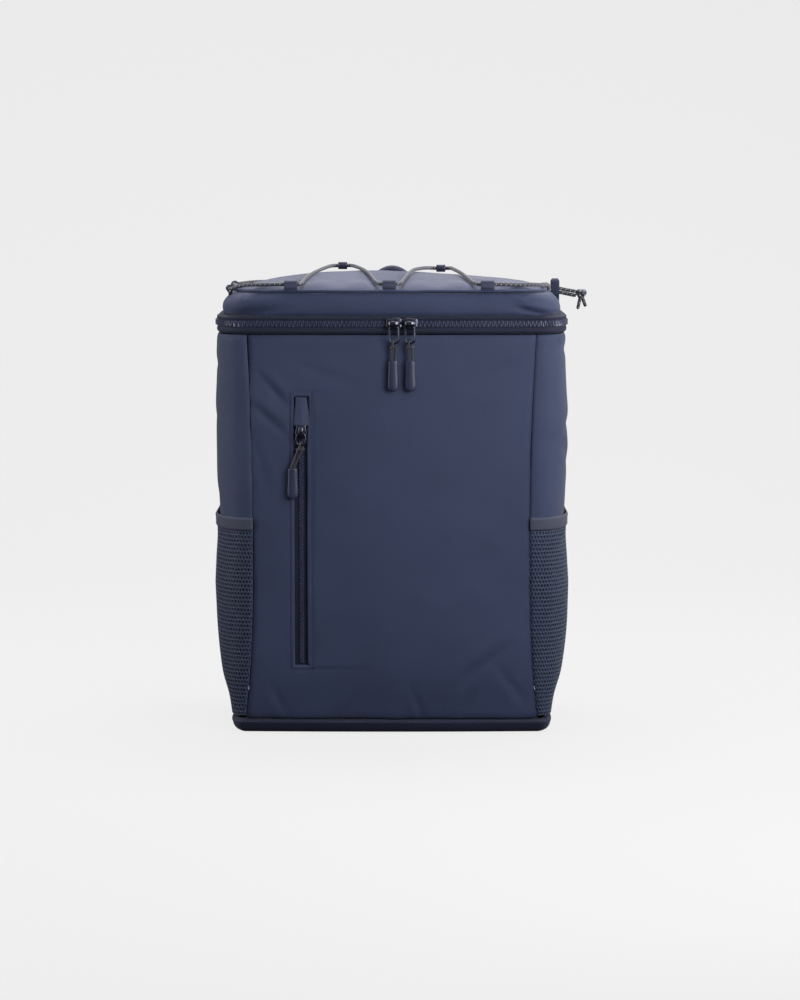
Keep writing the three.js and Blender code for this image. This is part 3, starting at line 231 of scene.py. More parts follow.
# %% Mesh helpers
def new_piece(name, points, faces, material, uv=None, smooth=True):
    """A mesh object from points in millimetres. uv has one pair for each corner of each face."""
    mesh = bpy.data.meshes.new(name)
    mesh.from_pydata((np.asarray(points) * MM).tolist(), [], [list(f) for f in faces])
    if uv is not None:
        layer = mesh.uv_layers.new(name="cloth")
        layer.data.foreach_set("uv", np.asarray(uv, np.float32).ravel())
    mesh.polygons.foreach_set("use_smooth", [smooth] * len(mesh.polygons))
    mesh.materials.append(material)
    mesh.validate()
    made = bpy.data.objects.new(name, mesh)
    scene.collection.objects.link(made)
    return made


def grid_normals(grid, around=False):
    """Outward normals of a grid of points whose columns run to the right and rows go up."""
    if around:
        across = np.roll(grid, -1, axis=1) - np.roll(grid, 1, axis=1)
    else:
        across = np.gradient(grid, axis=1)
    up = np.gradient(grid, axis=0)
    normal = np.cross(across, up)
    return normal / np.maximum(np.linalg.norm(normal, axis=2, keepdims=True), 1e-9)


def lifted(grid, lift, around=False):
    return grid + grid_normals(grid, around) * lift[..., None]


def cloth_shell(name, grid, thick, material, around=False, hole=None):
    """A closed piece of cloth under a grid. hole: first and last row and column of an opening."""
    rows, columns, _ = grid.shape
    inner = grid - grid_normals(grid, around) * thick
    points = np.vstack([grid.reshape(-1, 3), inner.reshape(-1, 3)])
    count = rows * columns
    wide = columns if around else columns - 1
    r, c = (v.ravel() for v in np.mgrid[0 : rows - 1, 0:wide])
    if hole:
        inside = (r >= hole[0]) & (r < hole[1]) & (c >= hole[2]) & (c < hole[3])
        r, c = r[~inside], c[~inside]
    corners = [(r, c), (r, c + 1), (r + 1, c + 1), (r + 1, c)]
    outer = np.stack([a * columns + b % columns for a, b in corners], axis=1)
    stretch = np.concatenate([grid, grid[:, :1]], axis=1) if around else grid
    run = np.linalg.norm(np.diff(stretch, axis=1), axis=2)
    u = np.concatenate([np.zeros((rows, 1)), np.cumsum(run, axis=1)], axis=1)
    climb = np.linalg.norm(np.diff(grid, axis=0), axis=2)
    v = np.concatenate([np.zeros((1, columns)), np.cumsum(climb, axis=0)])
    u = u - u[:, [u.shape[1] // 2]]
    uv = np.stack([np.stack([u[a, b], v[a, b % columns]], axis=1) for a, b in corners], axis=1) * MM
    faces = [outer, outer[:, ::-1] + count]
    maps = [uv, uv[:, ::-1]]
    sides = {}
    for face, place in zip(outer.tolist(), uv.tolist()):
        for k in range(4):
            a, b = face[k], face[(k + 1) % 4]
            if (b, a) in sides:
                del sides[(b, a)]
            else:
                sides[(a, b)] = (place[k], place[(k + 1) % 4])
    rim = np.array([(b, a, a + count, b + count) for a, b in sides])
    if len(rim):
        faces.append(rim)
        maps.append(np.array([(q, p, p, q) for p, q in sides.values()]))
    return new_piece(name, points, np.vstack(faces).tolist(), material, np.vstack(maps))


def ripple(points, size, seed, stretch=(1, 1, 1)):
    """Smooth noise, about -1 to 1, at places in millimetres."""
    flat = points.reshape(-1, 3) * stretch / size + (seed * 7.3, seed * 3.1, seed * 5.7)
    return np.array([noise.noise(Vector(p)) for p in flat]).reshape(points.shape[:-1])


def fold(along, up, middle, turn, long, wide, deep):
    """A crease: a narrow valley with a low ridge on its upper side."""
    angle = math.radians(turn)
    da, du = along - middle[0], up - middle[1]
    run = da * math.cos(angle) + du * math.sin(angle)
    off = du * math.cos(angle) - da * math.sin(angle)
    reach = np.exp(-((run / long) ** 2))
    valley = np.exp(-((off / wide) ** 2))
    ridge = np.exp(-(((off - 1.9 * wide) / (1.5 * wide)) ** 2))
    return deep * reach * (0.55 * ridge - valley)


def plain_mesh(made):
    """Applies an object's modifiers, and keeps its name and material."""
    graph = bpy.context.evaluated_depsgraph_get()
    graph.update()
    mesh = bpy.data.meshes.new_from_object(
        made.evaluated_get(graph), preserve_all_data_layers=True, depsgraph=graph
    )
    made.modifiers.clear()
    made.data = mesh
    return made


def faces_outward(made):
    """Turns the faces of a closed piece outwards."""
    work = bmesh.new()
    work.from_mesh(made.data)
    bmesh.ops.recalc_face_normals(work, faces=work.faces)
    work.to_mesh(made.data)
    work.free()


def on_pack(made, slot, *nodes):
    """The piece rides on the backpack and stands for some of its solids. slot is not used."""
    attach(made, "root")
    if nodes:
        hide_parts(*nodes)
    print(made.name, len(made.data.polygons), "faces")
    return made


print("mesh helpers are ready")

# %% [markdown]
# ## Finishes
# The cloth is a plain weave of thick yarn: fine bumps, a slightly mixed colour and a soft shine along its
# folds. A picture could give this, but a pattern made from the UV map stays sharp at any distance. Weave,
# mixed colour and wear are used by many finishes, so each is a node group, built once.

# %% Node helpers
def new_group(name, inputs, outputs):
    """A shader group with named sockets. inputs: (name, kind, value). outputs: (name, kind)."""
    group = bpy.data.node_groups.new(name, "ShaderNodeTree")
    for label, kind, value in inputs:
        socket = group.interface.new_socket(label, in_out="INPUT", socket_type=kind)
        socket.default_value = value
    for label, kind in outputs:
        group.interface.new_socket(label, in_out="OUTPUT", socket_type=kind)
    return group, group.nodes.new("NodeGroupInput"), group.nodes.new("NodeGroupOutput")


def math_node(tree, operation, a, b=None):
    node = tree.nodes.new("ShaderNodeMath")
    node.operation = operation
    for socket, value in zip(node.inputs, (a, b)):
        if value is None:
            continue
        if isinstance(value, (int, float)):
            socket.default_value = value
        else:
            tree.links.new(value, socket)
    return node.outputs[0]


def mix_colors(tree, share, first, second):
    node = tree.nodes.new("ShaderNodeMix")
    node.data_type = "RGBA"
    sockets = (node.inputs[0], node.inputs[6], node.inputs[7])
    for socket, value in zip(sockets, (share, first, second)):
        if isinstance(value, bpy.types.NodeSocket):
            tree.links.new(value, socket)
        else:
            socket.default_value = value
    return node.outputs[2]


def noise_node(tree, vector, scale, detail=2.0, roughness=0.5):
    node = tree.nodes.new("ShaderNodeTexNoise")
    node.inputs["Detail"].default_value = detail
    node.inputs["Roughness"].default_value = roughness
    if isinstance(scale, bpy.types.NodeSocket):
        tree.links.new(scale, node.inputs["Scale"])
    else:
        node.inputs["Scale"].default_value = scale
    tree.links.new(vector, node.inputs["Vector"])
    return node.outputs["Fac"]


# %% The weave group
# Two crossed rows of yarn, each lifted where it passes over the other.
def build_weave():
    group, entry, out = new_group(
        "yarn weave",
        [("Vector", "NodeSocketVector", (0, 0, 0)), ("Threads", "NodeSocketFloat", 1800.0)],
        [("Height", "NodeSocketFloat"), ("Warp", "NodeSocketFloat")],
    )
    split = group.nodes.new("ShaderNodeSeparateXYZ")
    group.links.new(entry.outputs["Vector"], split.inputs[0])
    turns = math_node(group, "MULTIPLY", entry.outputs["Threads"], math.pi)
    along = math_node(group, "MULTIPLY", split.outputs[0], turns)
    up = math_node(group, "MULTIPLY", split.outputs[1], turns)
    yarn = [math_node(group, "ABSOLUTE", math_node(group, "SINE", v)) for v in (along, up)]
    over = math_node(
        group,
        "GREATER_THAN",
        math_node(group, "MULTIPLY", math_node(group, "SINE", along), math_node(group, "SINE", up)),
        0.0,
    )
    under = math_node(group, "SUBTRACT", 1.0, over)
    height = math_node(
        group,
        "ADD",
        math_node(group, "MULTIPLY", yarn[0], over),
        math_node(group, "MULTIPLY", yarn[1], under),
    )
    group.links.new(height, out.inputs["Height"])
    group.links.new(over, out.inputs["Warp"])
    return group


# %% The mixed colour group
# Yarn is never dyed quite evenly, and a bag that has been handled has soft lighter and darker places.
def build_mixed():
    group, entry, out = new_group(
        "mixed colour",
        [
            ("Vector", "NodeSocketVector", (0, 0, 0)),
            ("Dark", "NodeSocketColor", (0.03, 0.03, 0.05, 1)),
            ("Light", "NodeSocketColor", (0.06, 0.06, 0.1, 1)),
            ("Grain", "NodeSocketFloat", 900.0),
            ("Grain Share", "NodeSocketFloat", 0.5),
        ],
        [("Color", "NodeSocketColor"), ("Mask", "NodeSocketFloat")],
    )
    fine = noise_node(group, entry.outputs["Vector"], entry.outputs["Grain"], 3.0, 0.7)
    broad = noise_node(group, entry.outputs["Vector"], 9.0, 3.0, 0.55)
    share = entry.outputs["Grain Share"]
    mixed = math_node(
        group,
        "ADD",
        math_node(group, "MULTIPLY", fine, share),
        math_node(group, "MULTIPLY", broad, math_node(group, "SUBTRACT", 1.0, share)),
    )
    spread = group.nodes.new("ShaderNodeMapRange")
    spread.inputs["From Min"].default_value = 0.34
    spread.inputs["From Max"].default_value = 0.66
    group.links.new(mixed, spread.inputs["Value"])
    color = mix_colors(group, spread.outputs[0], entry.outputs["Dark"], entry.outputs["Light"])
    group.links.new(color, out.inputs["Color"])
    group.links.new(spread.outputs[0], out.inputs["Mask"])
    return group


# %% The wear group
# Raised edges are rubbed a little lighter.
def build_wear():
    group, entry, out = new_group(
        "rubbed edges",
        [
            ("Vector", "NodeSocketVector", (0, 0, 0)),
            ("Color", "NodeSocketColor", (0.05, 0.05, 0.08, 1)),
            ("Rubbed", "NodeSocketColor", (0.1, 0.1, 0.14, 1)),
            ("Amount", "NodeSocketFloat", 0.3),
        ],
        [("Color", "NodeSocketColor"), ("Mask", "NodeSocketFloat")],
    )
    geometry = group.nodes.new("ShaderNodeNewGeometry")
    edge = group.nodes.new("ShaderNodeMapRange")
    edge.inputs["From Min"].default_value = 0.52
    edge.inputs["From Max"].default_value = 0.62
    group.links.new(geometry.outputs["Pointiness"], edge.inputs["Value"])
    patchy = noise_node(group, entry.outputs["Vector"], 60.0, 2.0)
    mask = math_node(
        group,
        "MULTIPLY",
        math_node(group, "MULTIPLY", edge.outputs[0], patchy),
        entry.outputs["Amount"],
    )
    group.links.new(
        mix_colors(group, mask, entry.outputs["Color"], entry.outputs["Rubbed"]), out.inputs["Color"]
    )
    group.links.new(mask, out.inputs["Mask"])
    return group


yarn_weave, mixed_colour, rubbed_edges = build_weave(), build_mixed(), build_wear()
print("groups:", yarn_weave.name, mixed_colour.name, rubbed_edges.name)

# %% [markdown]
# The finishes differ in their colours, in the size of their yarn and in how much they shine. A cloth finish
# reads the UV map, in metres of cloth. A hard finish reads the place on the object.

# %% Finishes
def rgb(red, green, blue):
    """A colour as seen on a screen, 0 to 255, as the linear colour that a shader wants."""
    values = [v / 255 for v in (red, green, blue)]
    return tuple(v / 12.92 if v <= 0.04045 else ((v + 0.055) / 1.055) ** 2.4 for v in values) + (1.0,)


def new_finish(name, roughness, metallic=0.0, **sockets):
    material = bpy.data.materials.new(name)
    material.use_nodes = True
    shader = material.node_tree.nodes["Principled BSDF"]
    shader.inputs["Roughness"].default_value = roughness
    shader.inputs["Metallic"].default_value = metallic
    for label, value in sockets.items():
        shader.inputs[label.replace("_", " ")].default_value = value
    return material, material.node_tree, shader


def place_of(tree, on_cloth):
    node = tree.nodes.new("ShaderNodeTexCoord")
    return node.outputs["UV" if on_cloth else "Object"]


def use_group(tree, group, links=(), **values):
    node = tree.nodes.new("ShaderNodeGroup")
    node.node_tree = group
    for label, value in values.items():
        node.inputs[label.replace("_", " ")].default_value = value
    for label, socket in links:
        tree.links.new(socket, node.inputs[label])
    return node


def bump(tree, shader, height, strength, distance):
    node = tree.nodes.new("ShaderNodeBump")
    node.inputs["Strength"].default_value = strength
    node.inputs["Distance"].default_value = distance
    tree.links.new(height, node.inputs["Height"])
    tree.links.new(node.outputs[0], shader.inputs["Normal"])


def cloth_finish(name, dark, light, rubbed, threads=1700, rough=0.62, sheen=0.2, wear=0.5, depth=0.00012):
    """Woven cloth: mixed colour, rubbed edges, yarn that stands up from the surface, and a painted highlight
    on the yarn's crests.
    """
    material, tree, shader = new_finish(name, rough, Sheen_Weight=sheen, Sheen_Roughness=0.4)
    shader.inputs["Specular IOR Level"].default_value = 0.25
    place = place_of(tree, True)
    color = use_group(tree, mixed_colour, [("Vector", place)], Dark=dark, Light=light, Grain=700.0)
    worn = use_group(
        tree, rubbed_edges, [("Vector", place), ("Color", color.outputs["Color"])], Rubbed=rubbed, Amount=wear
    )
    weave = use_group(tree, yarn_weave, [("Vector", place)], Threads=float(threads))
    # Painted highlight: the yarn's raised crests are mixed up to a quarter of the way towards the light
    # colour.
    crest_highlight = math_node(tree, "MULTIPLY_ADD", weave.outputs["Height"], 0.25)
    crest_highlight.node.inputs[2].default_value = 0.0
    tone = mix_colors(tree, crest_highlight, worn.outputs["Color"], light)
    tree.links.new(tone, shader.inputs["Base Color"])
    rough_mix = math_node(tree, "MULTIPLY_ADD", color.outputs["Mask"], 0.12)
    rough_mix.node.inputs[2].default_value = rough - 0.06
    tree.links.new(rough_mix, shader.inputs["Roughness"])
    bump(tree, shader, weave.outputs["Height"], 0.6, depth)
    return material


def hard_finish(name, dark, light, rough, metallic=0.0, grain=500.0, depth=0.00004, coat=0.0):
    """Moulded or plated surface: slightly uneven in colour, gloss and height."""
    material, tree, shader = new_finish(name, rough, metallic)
    shader.inputs["Coat Weight"].default_value = coat
    place = place_of(tree, False)
    color = use_group(
        tree, mixed_colour, [("Vector", place)], Dark=dark, Light=light, Grain=grain, Grain_Share=0.7
    )
    worn = use_group(
        tree, rubbed_edges, [("Vector", place), ("Color", color.outputs["Color"])], Rubbed=light, Amount=0.6
    )
    tree.links.new(worn.outputs["Color"], shader.inputs["Base Color"])
    rough_mix = math_node(tree, "MULTIPLY_ADD", color.outputs["Mask"], 0.16)
    rough_mix.node.inputs[2].default_value = rough - 0.08
    tree.links.new(rough_mix, shader.inputs["Roughness"])
    bump(tree, shader, noise_node(tree, place, grain * 2, 2.0), 0.4, depth)
    return material


shell_cloth = cloth_finish("shell_cloth", rgb(40, 48, 74), rgb(52, 61, 90), rgb(78, 86, 116), sheen=0.12)
# The lid's top is the walls' cloth, painted lighter and greyer: painted light from above on its upward face.
lid_cloth = cloth_finish("lid_cloth", rgb(52, 57, 82), rgb(68, 74, 102), rgb(98, 104, 132), sheen=0.2)
base_cloth = cloth_finish(
    "base_cloth", rgb(22, 24, 44), rgb(34, 37, 60), rgb(58, 62, 86), threads=1300, sheen=0.1
)
tape_cloth = cloth_finish(
    "tape_cloth", rgb(20, 23, 42), rgb(32, 36, 58), rgb(52, 56, 80), threads=2200, rough=0.7, sheen=0.06
)
net_yarn = cloth_finish(
    "net_yarn", rgb(36, 45, 64), rgb(52, 61, 82), rgb(76, 84, 106), threads=3200, rough=0.6, sheen=0.12
)
webbing_cloth = cloth_finish(
    "webbing_cloth",
    rgb(32, 36, 58),
    rgb(48, 53, 78),
    rgb(80, 85, 110),
    threads=900,
    depth=0.0003,
    wear=0.7,
    sheen=0.1,
)
binding_knit = cloth_finish(
    "binding_knit", rgb(48, 52, 68), rgb(63, 67, 84), rgb(90, 94, 112), threads=1100, depth=0.0002, sheen=0.12
)
thread = cloth_finish(
    "thread", rgb(46, 50, 72), rgb(70, 76, 102), rgb(96, 101, 126), threads=4000, rough=0.45, sheen=0.1
)
dark_thread = cloth_finish(
    "dark_thread", rgb(14, 16, 30), rgb(24, 27, 46), rgb(40, 44, 66), threads=4000, rough=0.6, sheen=0.0
)
tooth_plastic = hard_finish("tooth_plastic", rgb(38, 41, 64), rgb(60, 64, 90), 0.36, coat=0.12)
pull_rubber = hard_finish("pull_rubber", rgb(27, 31, 58), rgb(36, 41, 70), 0.42, grain=900.0)
buckle_plastic = hard_finish("buckle_plastic", rgb(30, 33, 50), rgb(44, 47, 66), 0.42)
slider_metal = hard_finish("slider_metal", rgb(62, 63, 76), rgb(96, 97, 112), 0.2, 1.0)
ring_metal = hard_finish("ring_metal", rgb(40, 41, 54), rgb(72, 73, 88), 0.24, 1.0)
print(len(bpy.data.materials), "finishes")

# %% [markdown]
# The elastic cord has a braided cover: grey yarn over black, with light flecks that zigzag round it. The
# same UV map as on the cloth, round and along the cord, draws the braid's diamonds.

# %% Braided finishes
def braid_finish(name, black, grey, fleck, pitch, girth):
    material, tree, shader = new_finish(name, 0.55, Sheen_Weight=0.25)
    split = tree.nodes.new("ShaderNodeSeparateXYZ")
    tree.links.new(place_of(tree, True), split.inputs[0])
    round_it = math_node(tree, "MULTIPLY", split.outputs[0], 4 * math.pi / girth)
    along = math_node(tree, "MULTIPLY", split.outputs[1], 2 * math.pi / pitch)
    crossed = [
        math_node(tree, "SINE", math_node(tree, operation, along, round_it))
        for operation in ("ADD", "SUBTRACT")
    ]
    braid = math_node(tree, "MULTIPLY", crossed[0], crossed[1])
    strand = math_node(tree, "MULTIPLY_ADD", braid, 0.5)
    strand.node.inputs[2].default_value = 0.5
    ground = mix_colors(tree, strand, black, grey)
    zigzag = math_node(tree, "GREATER_THAN", math_node(tree, "MULTIPLY", crossed[0], 1.0), 0.8)
    inside = math_node(tree, "GREATER_THAN", crossed[1], -0.1)
    mask = math_node(tree, "MULTIPLY", zigzag, inside)
    color = mix_colors(tree, mask, ground, fleck)
    tree.links.new(color, shader.inputs["Base Color"])
    bump(tree, shader, strand, 0.8, 0.0003)
    return material


cord_braid = braid_finish("cord_braid", rgb(12, 13, 22), rgb(44, 46, 60), rgb(142, 143, 154), 0.0042, 0.01)
pull_braid = braid_finish("pull_braid", rgb(10, 11, 20), rgb(28, 30, 44), rgb(48, 50, 66), 0.0024, 0.006)
print("braids:", cord_braid.name, pull_braid.name)

# %% [markdown]
# ## The front panel
# A padded wall is cloth over foam. Where it meets its neighbours it is pulled down into the seam, and the
# pull leaves small puckers. A cloth simulation could find them, but their places are known from the
# photograph, so they are pressed into a fine grid: seams, folds, puckers and slow waves.
# The pocket's zip shows through a long slot, whose edges are turned under and sewn.

# %% Seams, puckers and waves
SLOT_X, SLOT_HALF, SLOT_LOW, SLOT_HIGH = -77, 6, 61, 292
STITCH_IN = 3.2
# Cloth shifted at the wall's ends: down over the base, up over the tape, and how far from the end it starts.
CLOTH_DROP, CLOTH_RISE, EDGE_REACH = 2.3, 2.8, 9


def tuck(distance, deep=1.7, wide=3.0):
    """Cloth pulled into a seam, by the distance from it."""
    return -deep * np.exp(-((distance / wide) ** 2))


def puckers(along, distance, seed, deep=0.45, pitch=10, reach=10):
    """Small folds that start at a seam and die away from it."""
    line = np.stack([along, np.zeros_like(along), np.full_like(along, seed * 1.7)], axis=-1)
    return deep * ripple(line, pitch, seed) * np.exp(-distance / reach)


def waves(grid, seed, broad=0.9, fine=0.25):
    return broad * ripple(grid, 85, seed) + fine * ripple(grid, 27, seed + 3)


# Folds of the front: middle across and up, turn, reach along and over, and depth.
FRONT_FOLDS = (
    ((-100, 297), -48, 16, 3.4, 2.0),
    ((-106, 274), -42, 19, 3.8, 2.2),
    ((-112, 236), -74, 26, 4.0, 0.8),
    ((-58, 312), -20, 26, 5.0, 0.6),
    ((-37, 25), 62, 12, 3.0, 0.9),
    ((24, 24), 112, 13, 3.2, 0.9),
    ((66, 30), 70, 14, 4.0, 0.6),
    ((-96, 28), 118, 16, 3.6, 0.8),
    ((104, 42), 128, 22, 4.4, 0.7),
    ((98, 318), 30, 24, 5.0, 0.6),
    ((-52, 57.6), 0, 22, 1.3, 0.5),
    ((-66, 295.6), 0, 12, 1.2, 0.4),
    ((80, 62), 38, 26, 5.0, 1.1),
)


# %% The front panel's cloth
def front_grid():
    heights = np.concatenate(
        [
            np.linspace(BASE_HEIGHT + 0.2, SLOT_LOW, 24, endpoint=False),
            np.linspace(SLOT_LOW, SLOT_HIGH, 96, endpoint=False),
            np.linspace(SLOT_HIGH, BODY_TOP - 0.2, 28),
        ]
    )
    rows = []
    for z in heights:
        seam = float(body_section(z)[1]) - 0.15
        x = np.concatenate(
            [
                np.linspace(-seam, SLOT_X - SLOT_HALF, 30, endpoint=False),
                np.linspace(SLOT_X - SLOT_HALF, SLOT_X + SLOT_HALF, 8, endpoint=False),
                np.linspace(SLOT_X + SLOT_HALF, seam, 112),
            ]
        )
        rows.append(np.stack([x, front_y(x, z), np.full_like(x, z)], axis=1))
    return np.array(rows)


def front_lift(grid):
    x, z = grid[..., 0], grid[..., 2]
    seam = np.abs(grid[:, :1, 0])
    sides, low, high = seam - np.abs(x), z - BASE_HEIGHT, BODY_TOP - z
    lift = tuck(sides, 1.0, 2.6) + tuck(low, 1.1, 2.6) + tuck(high, 1.0, 2.6)
    lift += puckers(x, low, 1, 1.5, 17, 15) + puckers(x, high, 2, 0.5, 15, 10)
    lift += puckers(z, sides, 3, 0.5, 16, 9) + waves(grid, 4, 1.5, 0.4)
    for middle, turn, long, wide, deep in FRONT_FOLDS:
        lift += fold(x, z, middle, turn, long, wide, deep)
    across = np.maximum(np.abs(x - SLOT_X) - SLOT_HALF, 0)
    slot = np.hypot(across, np.maximum(np.maximum(SLOT_LOW - z, z - SLOT_HIGH), 0))
    turned = 0.8 * np.exp(-(((slot - 1.5) / 1.1) ** 2)) - 0.55 * np.exp(-((slot / 0.8) ** 2))
    sewn = -0.6 * np.exp(-(((slot - STITCH_IN) / 0.8) ** 2))
    return lift * np.clip(0.3 + slot / 12, 0, 1) + turned + sewn


front_places = front_grid()
front_cloth = lifted(front_places, front_lift(front_places))
front_cloth[..., 2] -= CLOTH_DROP * np.exp(-(((front_places[..., 2] - BASE_HEIGHT) / EDGE_REACH) ** 2))
front_cloth[..., 2] += CLOTH_RISE * np.exp(-(((BODY_TOP - front_places[..., 2]) / EDGE_REACH) ** 2))
front_panel = cloth_shell("front_panel_cloth", front_cloth, 2.4, shell_cloth, hole=(24, 120, 30, 38))
on_pack(front_panel, "shell_cloth", "front_panel")

# %% [markdown]
# ## The gussets and the back
# The gussets are the soft sides. Theirs are the deepest folds, where an empty bag gives way. Under the net
# pockets they lie flatter, so that the net stays clear of them.

# %% Gussets and back
GUSSET_COLUMNS, GUSSET_ROWS = 84, 112
# Folds of the gussets: side, middle along Y and up, turn, reach along and over, and depth.
GUSSET_FOLDS = (
    (-1, (-48, 207), 55, 22, 4.5, 2.2),
    (-1, (-30, 268), -35, 26, 6.0, 1.2),
    (-1, (-20, 322), 8, 42, 4.5, 1.2),
    (1, (-38, 268), 18, 34, 5.5, 1.5),
    (1, (-52, 240), -30, 22, 5.0, 1.2),
    (1, (-46, 331), -6, 30, 4.0, 1.6),
    (1, (20, 210), -28, 34, 7.0, 1.4),
    (-1, (30, 230), 25, 36, 7.0, 1.4),
)


def gusset_grid(side, count=GUSSET_COLUMNS, low=BASE_HEIGHT + 0.2, high=BODY_TOP - 0.2, rows=GUSSET_ROWS):
    grid = []
    for z in np.linspace(low, high, rows):
        line = spaced(gusset_line(z), count)
        if side < 0:
            line = line[::-1] * (-1, 1)
        grid.append(np.column_stack([line, np.full(count, z)]))
    return np.array(grid)


def gusset_lift(grid, side):
    y, z = grid[..., 1], grid[..., 2]
    run = np.linalg.norm(np.diff(grid, axis=1), axis=2)
    along = np.concatenate([np.zeros((len(grid), 1)), np.cumsum(run, axis=1)], axis=1)
    ends = np.minimum(along, along[:, -1:] - along)
    low, high = z - BASE_HEIGHT, BODY_TOP - z
    calm = np.clip((z - 176) / 20, 0.12, 1)
    lift = tuck(ends, 1.0, 2.6) + tuck(low, 1.2, 2.6) + tuck(high, 1.2, 2.6)
    lift += calm * (puckers(z, ends, 5 + side, 0.5, 14, 9) + waves(grid, 8 + side, 1.0, 0.35))
    lift += (2.2 if side < 0 else 0.6) * np.exp(-((high / 55) ** 2))
    lift += calm * puckers(y, high, 11 + side, 1.0, 13, 14)
    for _, middle, turn, long, wide, deep in (row for row in GUSSET_FOLDS if row[0] == side):
        lift += calm * fold(y, z, middle, turn, long, wide, deep)
    return lift


gusset_cloth = {}
for side, word in ((-1, "left"), (1, "right")):
    places = gusset_grid(side)
    gusset_cloth[word] = lifted(places, gusset_lift(places, side))
    gusset_cloth[word][..., 2] += CLOTH_RISE * np.exp(-(((BODY_TOP - places[..., 2]) / EDGE_REACH) ** 2))
    gusset = cloth_shell(f"gusset_{word}_cloth", gusset_cloth[word], 2.4, shell_cloth)
    on_pack(gusset, "shell_cloth", f"gusset_{word}")

back_rows = []
for z in np.linspace(BASE_HEIGHT + 0.2, BODY_TOP - 0.2, 90):
    line = spaced(back_line(z), 70)
    back_rows.append(np.column_stack([line, np.full(70, z)]))
back_places = np.array(back_rows)
back_side = np.abs(back_places[:, :1, 0]) - np.abs(back_places[..., 0])
back_lift = tuck(back_side, 1.6, 3.2) + tuck(back_places[..., 2] - BASE_HEIGHT)
back_lift = back_lift + tuck(BODY_TOP - back_places[..., 2])
back_lift -= 0.5 * np.abs(ripple(back_places, 60, 14))
back_cloth = lifted(back_places, back_lift)
back_cloth[..., 2] += CLOTH_RISE * np.exp(-(((BODY_TOP - back_places[..., 2]) / EDGE_REACH) ** 2))
back_panel = cloth_shell("back_panel_cloth", back_cloth, 3.0, shell_cloth)
on_pack(back_panel, "shell_cloth", "back_panel")

# %% [markdown]
# ## The base
# The base is one stiff panel whose cloth is turned up all round into a low wall. It is built of closed
# rings, from the flat underside round the lower edge, up the wall and down again inside.

# %% The base
def ring_piece(name, rings, tips, material):
    """A closed piece through closed rings of points. tips: the points its end rings close on, or none."""
    count = len(rings[0])
    points = np.vstack(list(rings) + ([np.array(tips)] if tips is not None else []))
    run = np.linalg.norm(np.roll(rings[len(rings) // 2], -1, axis=0) - rings[len(rings) // 2], axis=1)
    u = np.concatenate([[0], np.cumsum(run)]) * MM
    rise = [0] + [float(np.linalg.norm(b - a, axis=1).mean()) for a, b in zip(rings, rings[1:])]
    v = np.cumsum(rise) * MM
    faces, maps = [], []
    bands = len(rings) - 1 if tips is not None else len(rings)
    for r in range(bands):
        s = (r + 1) % len(rings)
        top = v[s] if s else v[-1] + v[1]
        for c in range(count):
            d = (c + 1) % count
            faces.append((r * count + c, r * count + d, s * count + d, s * count + c))
            maps += [(u[c], v[r]), (u[c + 1], v[r]), (u[c + 1], top), (u[c], top)]
    if tips is not None:
        first, last = len(points) - 2, len(points) - 1
        for c in range(count):
            d = (c + 1) % count
            faces.append((first, d, c))
            maps += [(u[c], 0), (u[c + 1], v[0]), (u[c], v[0])]
            faces.append((last, bands * count + c, bands * count + d))
            maps += [(u[c], v[-1]), (u[c], v[-1]), (u[c + 1], v[-1])]
    return new_piece(name, points, faces, material, maps)


BASE_PROFILE = (
    (0.0, 30), (0.0, 14), (0.2, 8.5), (0.9, 5.0), (2.0, 2.8), (3.6, 1.1), (5.6, 0.1), (8.0, -0.5),
    (9.0, -1.0), (10.6, -1.0), (11.8, -0.5), (12.4, 0.6), (12.5, 2.4), (12.2, 6.0), (9.0, 7.0), (8.0, 9.0),
)
foot_line = whole_line(BASE_HEIGHT, 300)
foot_places = np.column_stack([foot_line, np.zeros(300)])
foot_ripple = ripple(foot_places, 26, 21)
base_rings = []
for z, depth in BASE_PROFILE:
    outer = 1 if 0.5 < z < 14 and depth < 6 else 0
    soft = foot_ripple * 0.7 * outer
    line = moved_out(foot_line, -depth + soft, True)
    rise = z + 0.5 * np.maximum(foot_ripple, 0) * outer * (z < 4)
    base_rings.append(np.column_stack([line, rise * np.ones(300)]))
base_piece = ring_piece("base_cloth", base_rings, [(0, 0, 0), (0, 0, 8)], base_cloth)
on_pack(base_piece, "base_cloth", "base_panel")

# %% [markdown]
# ## The zip's tapes
# A tape is sewn to the body below and to the lid above, and stands out round the bag like a soft band. Both
# tapes run from one back corner round the front to the other. Behind, a cloth hinge takes their place.

# %% Tapes and hinge
def band_line(count, back_turn=60):
    right = gusset_line(BODY_TOP, back_turn)
    left = right[::-1] * (-1, 1)
    return spaced(np.vstack([left[:-1], front_line(BODY_TOP)[:-1], right]), count)


def band_grid(line, profile, steps, seed, soft=0.35):
    """A band that follows a line. profile: heights and how far each stands out."""
    z, out = np.array(profile).T
    at = np.linspace(0, 1, steps)
    share = np.linspace(0, 1, len(z))
    heights, outs = np.interp(at, share, z), np.interp(at, share, out)
    flat = np.column_stack([line, np.zeros(len(line))])
    wobble = ripple(flat, 32, seed) * soft
    rows = []
    for k, (height, out_by) in enumerate(zip(heights, outs)):
        edge = math.sin(math.pi * k / (steps - 1))
        rows.append(np.column_stack([moved_out(line, out_by + wobble * edge), np.full(len(line), height)]))
    return np.array(rows)


